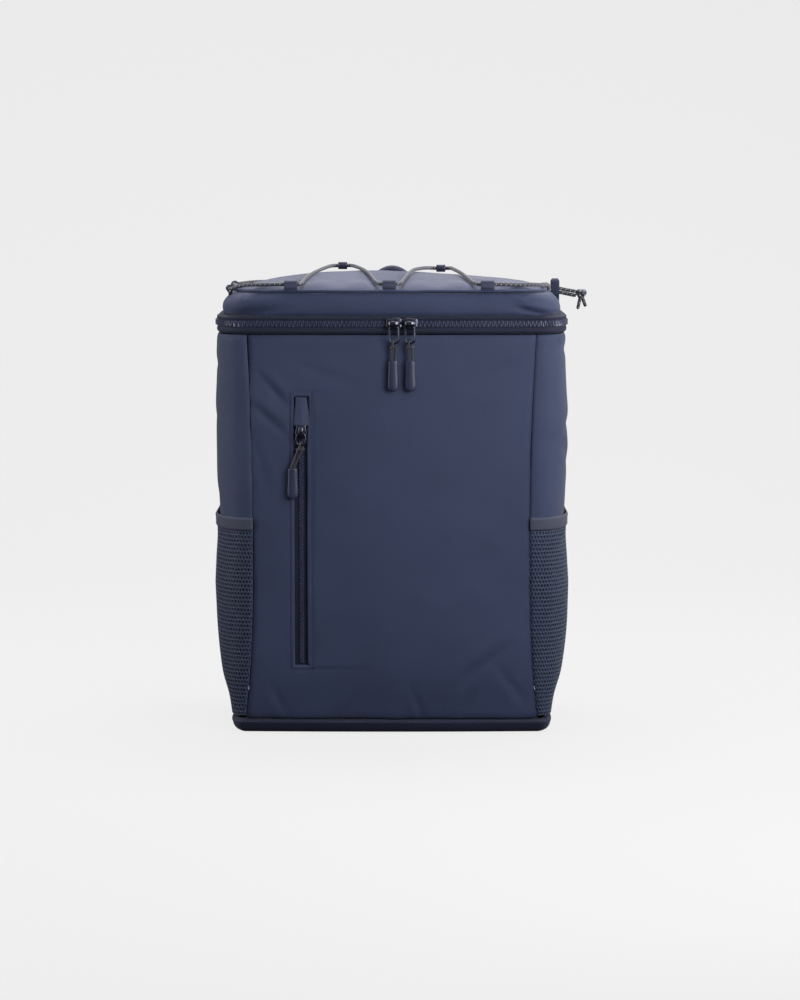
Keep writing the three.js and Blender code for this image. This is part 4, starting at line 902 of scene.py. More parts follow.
LOWER_TAPE = (
    (345.2, -1.6), (345.4, 0.1), (346.1, 1.2), (347.2, 1.9), (348.4, 2.1), (349.4, 1.9), (350.6, 1.6),
    (352.2, 1.6), (353.85, 1.6),
)
UPPER_TAPE = (
    (354.15, 1.6), (355.8, 1.6), (357.2, 1.6), (357.8, 1.9), (358.6, 2.2), (359.4, 1.9), (360.0, 1.0),
    (360.3, -0.4), (360.6, -2.0), (361.2, -5.0),
)
HINGE = (
    (344.9, -1.0), (345.3, 0.4), (346.4, 1.2), (348.6, 1.4), (352.0, 1.2), (356.0, 1.4), (360.0, 1.3),
    (361.4, 0.6), (362.0, -1.0), (362.1, -3.0),
)
chain_line = band_line(420)
hinge_line = spaced(back_line(BODY_TOP, turn=60), 110)
lower_tape = cloth_shell("zip_tape_lower_cloth", band_grid(chain_line, LOWER_TAPE, 22, 31), 1.0, tape_cloth)
on_pack(lower_tape, "tape_cloth", "zip_tape_lower")
upper_tape = cloth_shell("zip_tape_upper_cloth", band_grid(chain_line, UPPER_TAPE, 22, 32), 1.0, tape_cloth)
on_pack(upper_tape, "tape_cloth", "zip_tape_upper")
hinge_piece = cloth_shell("lid_hinge_cloth", band_grid(hinge_line, HINGE, 20, 33, 0.15), 1.0, shell_cloth)
on_pack(hinge_piece, "shell_cloth", "lid_hinge")

# %% [markdown]
# ## The lid
# The lid's low wall is soft and leans inwards. Its top is a padded crown: the tabs pull it down and it
# puffs up between them, which gives the bright arcs along the front edge in the photograph.

# %% The lid's wall
FASCIA_FOLDS = (
    ((-120, 362.5), 8, 24, 4.2, 2.9),
    ((121, 364.0), -12, 15, 2.0, 2.4),
    ((106, 371.0), -32, 13, 2.6, 0.9),
)
LID_COUNT = 320
lid_line = whole_line(BODY_TOP, LID_COUNT)
fascia_rows = []
for share in np.linspace(0, 1, 20):
    width, depth = read(LID_SECTIONS, "width", share), read(LID_SECTIONS, "depth", share)
    z = LID_BASE - 1.9 + share * 20.6
    fascia_rows.append(np.column_stack([lid_line * (width, depth), np.full(LID_COUNT, z)]))
fascia_places = np.array(fascia_rows)
fx, fy, fz = (fascia_places[..., k] for k in range(3))
fascia_lift = 2.4 * np.sin(math.pi * np.clip((fz - 360.1) / 20.6, 0, 1)) ** 0.7
fascia_lift += tuck(fz - 360.1, 1.2, 1.6) + tuck(380.7 - fz, 0.7, 1.4)
fascia_lift += 0.5 * ripple(fascia_places * (1, 1, 0.6), 34, 41) + 0.35 * ripple(fascia_places, 15, 42)
for middle, turn, long, wide, deep in FASCIA_FOLDS:
    fascia_lift += np.where(fy < -40, fold(fx, fz, middle, turn, long, wide, deep), 0)
fascia_cloth = lifted(fascia_places, fascia_lift, True)
fascia = cloth_shell("lid_fascia_cloth", fascia_cloth, 2.0, shell_cloth, around=True)
on_pack(fascia, "shell_cloth", "lid_fascia")

# %% The lid's top
lid_edge_line = lid_line * (0.884, 0.94)
lid_front, lid_back = lid_edge_line[:, 1].min(), lid_edge_line[:, 1].max()
LID_MIDDLE = (lid_front + lid_back) / 2
# Where the tabs pull the top down: across, back and how far.
TAB_PULLS = (
    (-85.6, -73, 1.7), (-2.0, -73, 1.9), (81.6, -73, 1.7), (-43.4, 31, 1.6), (43.4, 41, 1.5),
    (-120, -62, 1.5), (-115, 67, 1.2), (108, 75, 1.2),
)


def crown_height(x, y, share):
    """How high the lid's top stands over its edge."""
    crown = LID_CROWN * (1 - share**LID_CROWN_POWER)
    inner = np.minimum(1, (1 - share) * 6)
    for across, back, wide, long, deep in LID_DIPS:
        off = ((x / (BODY_WIDTH / 2) - across) / wide) ** 2 + ((y / (BODY_DEPTH / 2) - back) / long) ** 2
        crown = crown - inner * deep * LID_CROWN * np.exp(-off)
    return crown


def lid_detail(x, y, share):
    """Soft shape of the lid's top: pulled down at the tabs and at its seam, puffed up between."""
    places = np.stack([x, y, np.zeros_like(x)], axis=-1)
    lift = 0.55 * ripple(places, 42, 51) + 0.25 * ripple(places, 17, 52)
    for px, py, deep in TAB_PULLS:
        lift = lift - deep * np.exp(-((x - px) ** 2 + (y - py) ** 2) / 9.0**2)
    front = np.exp(-(((y - lid_front - 13) / 9) ** 2)) * (y < 0)
    between = np.sin(np.pi * np.clip((x + 127) / 41.6, 0, 6.1)) ** 2
    return lift * np.clip((1 - share) * 14, 0, 1) + 1.9 * front * between


def lid_rings():
    over = []
    for k in np.linspace(0, 1, 46):
        share = 1 - 0.985 * k**1.25
        x = lid_edge_line[:, 0] * share
        y = LID_MIDDLE + (lid_edge_line[:, 1] - LID_MIDDLE) * share
        seam = tuck((1 - share) * 75, 2.0, 3.6)
        z = LID_EDGE + 0.3 + crown_height(x, y, share) + lid_detail(x, y, share) + seam
        over.append(np.stack([x, y, z], axis=1))
    under = [np.maximum(over[i] - (0, 0, 5), (-999, -999, 380.9)) for i in (40, 24, 8, 0)]
    return under + over


lid_shape = lid_rings()
# Its finish is the walls' cloth with painted light from above mixed into its colour.
lid_top = ring_piece(
    "lid_top_cloth",
    lid_shape,
    [lid_shape[0].mean(axis=0), lid_shape[-1].mean(axis=0)],
    lid_cloth,
)
on_pack(lid_top, "lid_cloth", "lid_top")

# %% [markdown]
# ## Piping
# The seam between the lid's wall and top is covered by a thin roll of cloth. It is a tube round the lid,
# with a slight wobble, as sewn piping has.

# %% Tubes
def frames_along(points, closed=False):
    """Directions along a line, and two across it that turn as little as they can."""
    if closed:
        along = np.roll(points, -1, axis=0) - np.roll(points, 1, axis=0)
    else:
        along = np.gradient(points, axis=0)
    along = along / np.linalg.norm(along, axis=1, keepdims=True)
    side = np.cross(along[0], (0.0, 0.0, 1.0))
    if np.linalg.norm(side) < 0.1:
        side = np.cross(along[0], (0.0, 1.0, 0.0))
    sides = []
    for direction in along:
        side = side - direction * side.dot(direction)
        side = side / np.linalg.norm(side)
        sides.append(side)
    sides = np.array(sides)
    return along, sides, np.cross(along, sides)


def tube(name, points, radius, material, count=10, closed=False, flat=1.0):
    """A round tube along a line. radius may differ from point to point."""
    points = np.asarray(points, float)
    _, side, up = frames_along(points, closed)
    radius = np.broadcast_to(radius, len(points))
    rings = []
    for k, middle in enumerate(points):
        turns = np.linspace(0, 2 * np.pi, count, endpoint=False)
        ring = middle + radius[k] * (np.outer(np.cos(turns), side[k]) + flat * np.outer(np.sin(turns), up[k]))
        rings.append(ring)
    return ring_piece(name, rings, None if closed else [points[0], points[-1]], material)


def rounded_ends(points, radius, steps=4):
    """A line's points and radii with a half-round end on each side."""
    points = np.asarray(points, float)
    turns = np.linspace(0, np.pi / 2, steps + 1)[1:]
    first = (points[0] - points[1]) / np.linalg.norm(points[0] - points[1])
    last = (points[-1] - points[-2]) / np.linalg.norm(points[-1] - points[-2])
    start = [points[0] + first * radius * math.sin(t) for t in turns[::-1]]
    end = [points[-1] + last * radius * math.sin(t) for t in turns]
    radii = [max(radius * math.cos(t), 0.02) for t in turns]
    line = np.vstack([start, points, end])
    return line, np.array(radii[::-1] + [radius] * len(points) + radii)


def smooth_route(points, steps=6):
    """A smooth line through given points, evenly shared between each pair."""
    p = np.asarray(points, float)
    p = np.vstack([2 * p[0] - p[1], p, 2 * p[-1] - p[-2]])
    line = []
    for a, b, c, d in zip(p, p[1:], p[2:], p[3:]):
        t1, t2, t3 = (np.linalg.norm(q - r) ** 0.5 for q, r in ((b, a), (c, b), (d, c)))
        for t in np.linspace(0, 1, steps, endpoint=False) * t2:
            ab, bc = a + (b - a) * (t + t1) / t1, b + (c - b) * t / t2
            cd = c + (d - c) * (t - t2) / t3
            abc = ab + (bc - ab) * (t + t1) / (t1 + t2)
            bcd = bc + (cd - bc) * t / (t2 + t3)
            line.append(abc + (bcd - abc) * t / t2)
    return np.array(line + [p[-2]])


piping_line = moved_out(lid_edge_line, 1.3, True)
piping_middle = np.column_stack([piping_line, 381.6 + 0.25 * foot_ripple[np.arange(LID_COUNT) % 300]])
piping = tube("lid_piping_cloth", piping_middle, 1.35, shell_cloth, 10, True)
on_pack(piping, "webbing", "lid_piping")

# %% [markdown]
# ## Stitches
# A line of stitches is one small thread, repeated at even steps along a line. Geometry Nodes do that: the
# line is resampled by length, and a thread is placed on each point and turned along the line.

# %% Node trees for what repeats
def new_tree(name, inputs):
    """A geometry tree that takes a mesh and named inputs: (name, kind, value)."""
    tree = bpy.data.node_groups.new(name, "GeometryNodeTree")
    tree.interface.new_socket("Geometry", in_out="INPUT", socket_type="NodeSocketGeometry")
    tree.interface.new_socket("Geometry", in_out="OUTPUT", socket_type="NodeSocketGeometry")
    for label, kind, value in inputs:
        socket = tree.interface.new_socket(label, in_out="INPUT", socket_type=kind)
        if value is not None:
            socket.default_value = value
    return tree, tree.nodes.new("NodeGroupInput"), tree.nodes.new("NodeGroupOutput")


def step(tree, kind, inputs=(), **settings):
    """A node with its settings, and its inputs joined or set: (socket name or number, value)."""
    made = tree.nodes.new(kind)
    for label, value in settings.items():
        setattr(made, label, value)
    for label, value in inputs:
        if isinstance(value, bpy.types.NodeSocket):
            tree.links.new(value, made.inputs[label])
        else:
            made.inputs[label].default_value = value
    return made


def finish_tree(tree, entry, out, geometry):
    real = step(tree, "GeometryNodeRealizeInstances", [(0, geometry)])
    dressed = step(
        tree,
        "GeometryNodeSetMaterial",
        [("Geometry", real.outputs[0]), ("Material", entry.outputs["Material"])],
    )
    tree.links.new(dressed.outputs[0], out.inputs[0])
    return tree


def grown(name, source, tree, material, **values):
    """Runs a tree on a source mesh and keeps the result as a plain mesh."""
    modifier = source.modifiers.new("grow", "NODES")
    modifier.node_group = tree
    known = {i.name: i.identifier for i in tree.interface.items_tree if i.item_type == "SOCKET"}
    for label, value in {"Material": material, **values}.items():
        modifier[known[label.replace("_", " ")]] = value
    source.name = name
    plain_mesh(source)
    source.data.polygons.foreach_set("use_smooth", [True] * len(source.data.polygons))
    return source


def line_mesh(name, lines):
    """A mesh of bare lines, from lists of points in millimetres."""
    points, edges = [], []
    for line in lines:
        start = len(points)
        points += (np.asarray(line) * MM).tolist()
        edges += [(start + k, start + k + 1) for k in range(len(line) - 1)]
    mesh = bpy.data.meshes.new(name)
    mesh.from_pydata(points, edges, [])
    made = bpy.data.objects.new(name, mesh)
    scene.collection.objects.link(made)
    return made


def build_stitches():
    tree, entry, out = new_tree(
        "sewn line",
        [
            ("Pitch", "NodeSocketFloat", 0.0026),
            ("Share", "NodeSocketFloat", 0.68),
            ("Thread Radius", "NodeSocketFloat", 0.00028),
            ("Material", "NodeSocketMaterial", None),
        ],
    )
    curve = step(tree, "GeometryNodeMeshToCurve", [("Mesh", entry.outputs["Geometry"])])
    points = step(
        tree,
        "GeometryNodeResampleCurve",
        [("Curve", curve.outputs[0]), ("Length", entry.outputs["Pitch"])],
        mode="LENGTH",
    )
    half = step(
        tree,
        "ShaderNodeMath",
        [(0, entry.outputs["Pitch"]), (1, entry.outputs["Share"])],
        operation="MULTIPLY",
    )
    length = step(tree, "ShaderNodeMath", [(0, half.outputs[0]), (1, 0.5)], operation="MULTIPLY")
    size = step(
        tree,
        "ShaderNodeCombineXYZ",
        [(0, length.outputs[0]), (1, entry.outputs["Thread Radius"]), (2, entry.outputs["Thread Radius"])],
    )
    ball = step(tree, "GeometryNodeMeshUVSphere", [("Segments", 6), ("Rings", 5), ("Radius", 1.0)])
    stitch = step(tree, "GeometryNodeTransform", [("Geometry", ball.outputs[0]), ("Scale", size.outputs[0])])
    tangent = step(tree, "GeometryNodeInputTangent")
    turned = step(
        tree, "FunctionNodeAlignRotationToVector", [("Vector", tangent.outputs[0])], axis="X"
    )
    placed = step(
        tree,
        "GeometryNodeInstanceOnPoints",
        [
            ("Points", points.outputs[0]),
            ("Instance", stitch.outputs[0]),
            ("Rotation", turned.outputs[0]),
        ],
    )
    return finish_tree(tree, entry, out, placed.outputs[0])


sewn_line = build_stitches()


def stitches(name, lines, slot, pitch=2.6, radius=0.28, yarn=thread):
    made = grown(
        name, line_mesh(name, lines), sewn_line, yarn, Pitch=pitch * MM, Thread_Radius=radius * MM
    )
    return on_pack(made, slot)


# %% Stitches of the front pocket, the net pockets and the base
def on_front(points, out=0.2):
    """Places on the front cloth, nearest to given places across and up."""
    flat = front_cloth.reshape(-1, 3)
    normal = grid_normals(front_cloth).reshape(-1, 3)
    found = []
    for x, z in points:
        k = int(np.argmin((flat[:, 0] - x) ** 2 + (flat[:, 2] - z) ** 2))
        found.append([x, flat[k, 1] + normal[k, 1] * out, z])
    return np.array(found)


pocket_lines = [
    on_front([(SLOT_X + side * (SLOT_HALF + STITCH_IN), z) for z in np.linspace(59, 294, 110)])
    for side in (-1, 1)
] + [
    on_front([(x, z) for x in np.linspace(SLOT_X - 9, SLOT_X + 10, 12)])
    for z in (SLOT_LOW - 3, SLOT_HIGH + 3)
]
stitches("pocket_stitches", pocket_lines, "shell_cloth", 2.9, 0.34, dark_thread)

base_line = moved_out(foot_line, 0.75, True)
base_line = np.vstack([base_line, base_line[:1]])
stitches(
    "base_stitches",
    [np.column_stack([base_line, np.full(len(base_line), 10.4)])],
    "base_cloth",
    3.0,
    0.26,
)

# %% [markdown]
# ## Zip teeth
# The teeth are moulded one by one onto the edges of both tapes and mesh in the middle. One tooth is drawn
# as a wedge with a ridge, wide at its foot and narrow at its head, so that the rows of teeth form a zigzag.
# A tree sets it along the zip, on each side in turn.

# %% One tooth
def tooth_form(scale=1.0):
    foot = ((-1.5, 2.45), (-1.3, 1.8), (-0.3, -1.95), (0.3, -1.95), (1.3, 1.8), (1.5, 2.45))
    ridge = ((-0.4, 2.1), (-0.36, 1.7), (-0.12, -1.5), (0.12, -1.5), (0.36, 1.7), (0.4, 2.1))
    points = [(x, y, 0) for x, y in foot] + [(x, y, 0.55) for x, y in foot] + [(x, y, 1.55) for x, y in ridge]
    faces = []
    n = len(foot)
    for r in (0, 1):
        for c in range(n):
            d = (c + 1) % n
            faces.append((r * n + c, r * n + d, (r + 1) * n + d, (r + 1) * n + c))
    faces += [tuple(range(n))[::-1], tuple(range(2 * n, 3 * n))]
    return new_piece("tooth_form", np.array(points) * scale, faces, tooth_plastic, smooth=False)


def build_teeth():
    tree, entry, out = new_tree(
        "zip teeth",
        [
            ("Tooth", "NodeSocketObject", None),
            ("Spacing", "NodeSocketFloat", 0.0018),
            ("Across", "NodeSocketVector", (0, 0, 1)),
            ("Material", "NodeSocketMaterial", None),
        ],
    )
    curve = step(tree, "GeometryNodeMeshToCurve", [("Mesh", entry.outputs["Geometry"])])
    points = step(
        tree,
        "GeometryNodeResampleCurve",
        [("Curve", curve.outputs[0]), ("Length", entry.outputs["Spacing"])],
        mode="LENGTH",
    )
    tooth = step(tree, "GeometryNodeObjectInfo", [("Object", entry.outputs["Tooth"])])
    tangent = step(tree, "GeometryNodeInputTangent").outputs[0]
    number = step(tree, "GeometryNodeInputIndex").outputs[0]
    odd = step(tree, "ShaderNodeMath", [(0, number), (1, 2.0)], operation="MODULO").outputs[0]
    even = step(tree, "ShaderNodeMath", [(0, 1.0), (1, odd)], operation="SUBTRACT").outputs[0]
    both = step(tree, "GeometryNodeJoinGeometry")
    for chosen, sign in ((even, 1.0), (odd, -1.0)):
        run = step(tree, "ShaderNodeVectorMath", [(0, tangent), ("Scale", sign)], operation="SCALE")
        across = step(
            tree, "ShaderNodeVectorMath", [(0, entry.outputs["Across"]), ("Scale", sign)], operation="SCALE"
        )
        turned = step(
            tree,
            "FunctionNodeAxesToRotation",
            [("Primary Axis", run.outputs[0]), ("Secondary Axis", across.outputs[0])],
            primary_axis="X",
            secondary_axis="Y",
        )
        placed = step(
            tree,
            "GeometryNodeInstanceOnPoints",
            [
                ("Points", points.outputs[0]),
                ("Selection", chosen),
                ("Instance", tooth.outputs["Geometry"]),
                ("Rotation", turned.outputs[0]),
            ],
        )
        tree.links.new(placed.outputs[0], both.inputs[0])
    return finish_tree(tree, entry, out, both.outputs[0])


zip_teeth = build_teeth()


def teeth(name, line, tooth, spacing, across, slot, node_name):
    made = grown(
        name,
        line_mesh(name, [line]),
        zip_teeth,
        tooth_plastic,
        Tooth=tooth,
        Spacing=spacing * MM,
        Across=across,
    )
    made.data.polygons.foreach_set("use_smooth", [False] * len(made.data.polygons))
    return on_pack(made, slot, node_name)


# %% The two chains
chain_places = np.column_stack([moved_out(chain_line, 1.75), np.full(len(chain_line), ZIP_Z)])
lid_tooth = tooth_form()
teeth("lid_zip_teeth", chain_places, lid_tooth, 1.8, (0, 0, 1), "chain_plastic", "lid_zip_chain")
pocket_heights = np.linspace(SLOT_HIGH - 2, SLOT_LOW + 2, 90)
TAPE_DEPTH = 2.5
pocket_chain = np.array([(SLOT_X, front_y(SLOT_X, z) + TAPE_DEPTH - 0.1, z) for z in pocket_heights])
pocket_tooth = tooth_form(0.78)
teeth("pocket_zip_teeth", pocket_chain, pocket_tooth, 1.45, (1, 0, 0), "chain_plastic", "pocket_zip_chain")
for form in (lid_tooth, pocket_tooth):
    bpy.data.objects.remove(form)

# %% The pocket's tape and welt
tape_x = SLOT_X + np.linspace(-8.6, 8.6, 15)
tape_rows = []
for z in np.linspace(SLOT_LOW - 2.5, SLOT_HIGH + 2.5, 80):
    y = front_y(tape_x, z) + TAPE_DEPTH + 0.35 * np.abs((tape_x - SLOT_X) / 8.6) ** 2
    tape_rows.append(np.column_stack([tape_x, y, np.full(15, z)]))
pocket_tape = cloth_shell("pocket_tape_cloth", np.array(tape_rows), 0.7, tape_cloth)
on_pack(pocket_tape, "tape_cloth", "pocket_zip_tape")

welt_x = SLOT_X + SLOT_HALF + np.linspace(-0.9, 1.7, 9)
welt_rows = []
for z in np.linspace(SLOT_LOW + 0.5, SLOT_HIGH - 24, 90):
    bulge = 1.15 * np.clip(1 - ((welt_x - SLOT_X - SLOT_HALF - 0.4) / 1.35) ** 2, 0, 1) ** 0.5
    wobble = 0.12 * noise.noise(Vector((0, 0, z / 9)))
    y = front_y(welt_x, z) - bulge + 0.55 + wobble
    welt_rows.append(np.column_stack([welt_x, y, np.full(9, z)]))
pocket_welt = cloth_shell("pocket_welt_cloth", np.array(welt_rows), 0.9, shell_cloth)
on_pack(pocket_welt, "shell_cloth", "pocket_welt")

# %% [markdown]
# ## The zip garage
# A hood of cloth covers the zip's upper end. It is narrow and flat at the top and opens to a round mouth.

# %% The garage
garage_rows = []
for k in np.linspace(0, 1, 26):
    z = SLOT_HIGH - 0.3 - 23.7 * k
    half = 4.7 + 2.6 * k
    share = np.linspace(-1, 1, 25)
    ridge = (1.4 + 3.6 * k**0.8) * (1 - np.abs(share) ** 3.2) + 0.9 * k * np.exp(-((share / 0.22) ** 2))
    x = SLOT_X + share * half + 0.4 * math.sin(2.6 * k)
    y = front_y(x, z) - 0.2 - ridge
    garage_rows.append(np.column_stack([x, y, np.full(25, z)]))
garage_places = np.array(garage_rows)[::-1]
garage_cloth = lifted(garage_places, 0.15 * ripple(garage_places, 8, 61))
garage = cloth_shell("zip_garage_cloth", garage_cloth, 1.1, shell_cloth)
on_pack(garage, "tape_cloth", "zip_garage")
stitches(
    "garage_stitches",
    [garage_places[2:-1, c] + (0, -0.15, 0) for c in (2, 22)],
    "tape_cloth",
    2.2,
    0.24,
)

# %% [markdown]
# ## Moulded and plated small parts
# A slider is a plate with a flared end and an arched bridge. It is drawn as an outline with thickness, and
# a Bevel modifier rounds its edges, because a sharp edge never catches the light as cast metal does.

# %% Small part helpers
def slab(name, outline, front, back, material, bevel=0.4, segments=2):
    """A plate from an outline in X and Z, from a front to a back depth along Y, with rounded edges."""
    n = len(outline)
    points = [(x, front, z) for x, z in outline] + [(x, back, z) for x, z in outline]
    faces = [tuple(range(n)), tuple(range(2 * n - 1, n - 1, -1))]
    faces += [(c, c + n, (c + 1) % n + n, (c + 1) % n) for c in range(n)]
    made = new_piece(name, points, faces, material)
    faces_outward(made)
    rounded = made.modifiers.new("rounded", "BEVEL")
    rounded.width = bevel * MM
    rounded.segments = segments
    rounded.limit_method = "ANGLE"
    rounded.angle_limit = math.radians(50)
    plain_mesh(made)
    made.data.polygons.foreach_set("use_smooth", [True] * len(made.data.polygons))
    return made


def joined(name, pieces):
    """One mesh from several."""
    whole = bmesh.new()
    for piece in pieces:
        whole.from_mesh(piece.data)
    mesh = bpy.data.meshes.new(name)
    whole.to_mesh(mesh)
    whole.free()
    mesh.materials.append(pieces[0].data.materials[0])
    for piece in pieces:
        bpy.data.objects.remove(piece)
    made = bpy.data.objects.new(name, mesh)
    scene.collection.objects.link(made)
    return made


def placed(made, at, turn=0.0, lean=0.0):
    """Moves a mesh itself to a place in millimetres, after turning it about Y and leaning it about X."""
    made.data.transform(Matrix.Rotation(math.radians(turn), 4, "Y"))
    made.data.transform(Matrix.Rotation(math.radians(lean), 4, "X"))
    made.data.transform(Matrix.Translation(Vector(at) * MM))
    return made


def ribbon_rings(path, across, width, thick, edge=0.35):
    """Rings of a flat strip with rounded edges along a path."""
    path = np.asarray(path, float)
    along = np.gradient(path, axis=0)
    along /= np.linalg.norm(along, axis=1, keepdims=True)
    across = np.broadcast_to(across, path.shape)
    wide = across - along * np.sum(along * across, axis=1, keepdims=True)
    wide = wide / np.linalg.norm(wide, axis=1, keepdims=True)
    out = np.cross(along, wide)
    width = np.broadcast_to(width, len(path))
    thick = np.broadcast_to(thick, len(path))
    section = [(1, 0.3), (1 - edge * 0.4, 0.8), (1 - edge, 1), (0, 1)]
    section += [(-1 + edge, 1), (-1 + edge * 0.4, 0.8), (-1, 0.3)]
    section += [(u, -v) for u, v in section[::-1]]
    rings = []
    for k, middle in enumerate(path):
        rings.append(
            [middle + wide[k] * u * width[k] / 2 + out[k] * v * thick[k] / 2 for u, v in section]
        )
    return np.array(rings)


def ribbon(name, path, across, width, thick, material, edge=0.35):
    rings = ribbon_rings(path, across, width, thick, edge)
    return ring_piece(name, list(rings), [rings[0].mean(axis=0), rings[-1].mean(axis=0)], material)


# %% Sliders and rings
SLIDER_HALF = (
    (-6.6, 3.1), (-6.2, 4.0), (-2.0, 4.2), (1.5, 4.9), (5.6, 4.6), (6.6, 3.4), (6.6, 1.4), (5.4, 0.6),
)
SLIDER_BRIDGE = (
    (-4.6, -1.6, 0), (-4.2, -3.4, 0), (-2.6, -4.9, 0), (0, -5.4, 0), (2.6, -5.0, 0), (4.2, -3.6, 0),
    (4.8, -1.6, 0),
)
# The pull's outline: how far down from its top in millimetres, and its share of the whole width.
PULL_PROFILE = (
    (0.0, 0.62), (0.5, 0.82), (1.6, 0.88), (6.0, 0.86), (13.0, 0.92), (20.0, 1.0), (23.4, 0.98),
    (25.2, 0.8), (26.2, 0.45),
)


def slider_piece(name, at, facing, upright=False):
    """A slider: flared plate, arched bridge and nose. facing: 1 or -1 along the zip."""
    shape = list(SLIDER_HALF) + [(x, -z) for x, z in SLIDER_HALF[::-1]]
    shape = [(x * facing, z) for x, z in shape]
    plate = slab("plate", shape, -2.3, 0.0, slider_metal, 0.7, 3)
    arch = smooth_route(np.array(SLIDER_BRIDGE) * (facing, 1, 1), 4)
    bridge = ribbon("bridge", arch, (0, 0, 1), 3.9, 1.5, slider_metal, 0.5)
    made = joined(name, [plate, bridge])
    return placed(made, at, 90 if upright else 0)


def ring_loop(width, height, steps=8):
    """A rounded loop in X and Z, its upper bar at the origin."""
    radius = width / 2
    turns = np.linspace(0, math.pi, steps)
    top = [(radius * math.cos(t), 0, radius * 0.8 * math.sin(t) - radius * 0.8) for t in turns]
    low = [(-x * 1.04, 0, -height - z) for x, _, z in top]
    return np.array(top + low)


def pull_set(names, ring_node, end_node, sway):
    """A ring, a doubled cord round its lower bar, and a moulded end, at the places of their solids."""
    lowest, highest = (np.array(corner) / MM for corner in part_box(ring_node))
    x, y = (lowest + highest)[:2] / 2
    z, ring_height = highest[2] - 0.9, highest[2] - lowest[2] - 1.8
    ring = tube(names[1], ring_loop(7.4, ring_height) + (x, y, z), 0.9, ring_metal, 8, True)
    low = z - ring_height
    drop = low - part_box(end_node)[1].z / MM
    cords = []
    for side in (-1, 1):
        legs = [
            (x + side * 0.6, y + 1.6 * side, low + 1.4),
            (x + side * 1.3, y + 1.3 * side, low - 1.6),
            (x + side * 1.5 + sway * 0.15, y - 0.6, low - 4.0),
            (x + side * 1.35 + sway * 0.6, y, low - drop * 0.6),
            (x + side * 1.2 + sway, y, low - drop + 0.8),
            (x + side * 1.0 + sway, y, low - drop - 3),
        ]
        cords.append(smooth_route(legs, 5))
    over = smooth_route([cords[0][0], (x, y - 0.2, low + 2.4), cords[1][0]], 5)
    whole = np.vstack([cords[0][::-1], over[1:-1], cords[1]])
    strand = tube("strand", whole, 0.95, pull_braid, 8)
    wrap_turns = np.linspace(0, 2 * np.pi, 20, endpoint=False)
    wrap = np.stack(
        [
            x + sway * 0.1 + 2.9 * np.cos(wrap_turns),
            y + 1.5 * np.sin(wrap_turns),
            low - 3.4 + 0.3 * np.cos(wrap_turns),
        ],
        axis=1,
    )
    band = tube("wrap", wrap, 0.95, pull_braid, 8, True)
    cord = strand.data.copy()
    both = bmesh.new()
    both.from_mesh(cord)
    both.from_mesh(band.data)
    both.to_mesh(strand.data)
    both.free()
    bpy.data.meshes.remove(cord)
    bpy.data.objects.remove(band)
    strand.name = names[2]
    end = pull_end(names[3], (x + sway, y, low - drop))
    return ring, strand, end


def pull_end(name, top):
    """A moulded grip: a flat capsule, a little waisted, with a rounded foot."""
    turns = np.linspace(0, 2 * np.pi, 20, endpoint=False)
    rings = []
    for down, share in PULL_PROFILE:
        c, s = np.cos(turns), np.sin(turns)
        px = np.sign(c) * np.abs(c) ** 0.72 * 4.7 * share
        py = np.sign(s) * np.abs(s) ** 0.85 * 2.3 * (0.55 + 0.45 * share)
        rings.append(np.stack([top[0] + px, top[1] + py, np.full(20, top[2] - down)], axis=1))
    rings = rings[::-1]
    made = ring_piece(name, rings, [rings[0].mean(axis=0), rings[-1].mean(axis=0)], pull_rubber)
    soft = made.modifiers.new("soft", "SUBSURF")
    soft.levels = soft.render_levels = 1
    plain_mesh(made)
    made.data.polygons.foreach_set("use_smooth", [True] * len(made.data.polygons))
    return made


# %% The three pulls
for side, word in ((-1, "left"), (1, "right")):
    low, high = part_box(f"lid_slider_{word}")
    at = ((low.x + high.x) / 2 / MM, high.y / MM, (low.z + high.z) / 2 / MM)
    on_pack(
        slider_piece(f"lid_slider_{word}_metal", at, -side), "slider_metal", f"lid_slider_{word}"
    )
    names = [f"lid_{part}_{word}_detail" for part in ("slider", "pull_ring", "pull_cord", "pull_end")]
    ring, strand, end = pull_set(names, f"lid_pull_ring_{word}", f"lid_pull_end_{word}", 0.6 * side)
    on_pack(ring, "ring_metal", f"lid_pull_ring_{word}")
    on_pack(strand, "cord_braid", f"lid_pull_cord_{word}")
    on_pack(end, "pull_rubber", f"lid_pull_end_{word}")

low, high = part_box("pocket_slider")
at = ((low.x + high.x) / 2 / MM, high.y / MM, (low.z + high.z) / 2 / MM)
on_pack(slider_piece("pocket_slider_metal", at, 1, True), "slider_metal", "pocket_slider")
names = [f"pocket_{part}_detail" for part in ("slider", "pull_ring", "pull_cord", "pull_end")]
ring, strand, end = pull_set(names, "pocket_pull_ring", "pocket_pull_end", -7)
on_pack(ring, "ring_metal", "pocket_pull_ring")
on_pack(strand, "cord_braid", "pocket_pull_cord")
on_pack(end, "pull_rubber", "pocket_pull_end")

# %% [markdown]
# ## The net pockets
# A warp-knitted net is one cell repeated: a long hexagon with a thin yarn rim. The cells are laid out on the
# pocket's curved surface, and a tree opens each cell and gives the rims a thickness.

# %% The net's surface
POCKET_TOP, NET_STAND, GAP = 177, 5.2, 0.3
NET_RISE = (0, 0.12, 0.3, 0.5, 0.7, 0.85, 1)
NET_OFF = (0.03, 0.14, 0.32, 0.64, 0.9, 0.72, 0.36)


def pocket_ring(side, z, out, count=160):
    """A line round a gusset at a height, standing off it as the pocket does, from front to back."""
    line = spaced(gusset_line(z), count)
    along = np.linspace(0, 1, count)
    rise = np.clip((z - BASE_HEIGHT) / (POCKET_TOP - BASE_HEIGHT), 0, 1)
    stand = np.interp(rise, NET_RISE, NET_OFF) * NET_STAND * np.minimum(1, 1.5 * np.sin(math.pi * along))
    line = moved_out(line, GAP + out + stand)
    return np.column_stack([line[:, 0] * side, line[:, 1], np.full(count, z)])


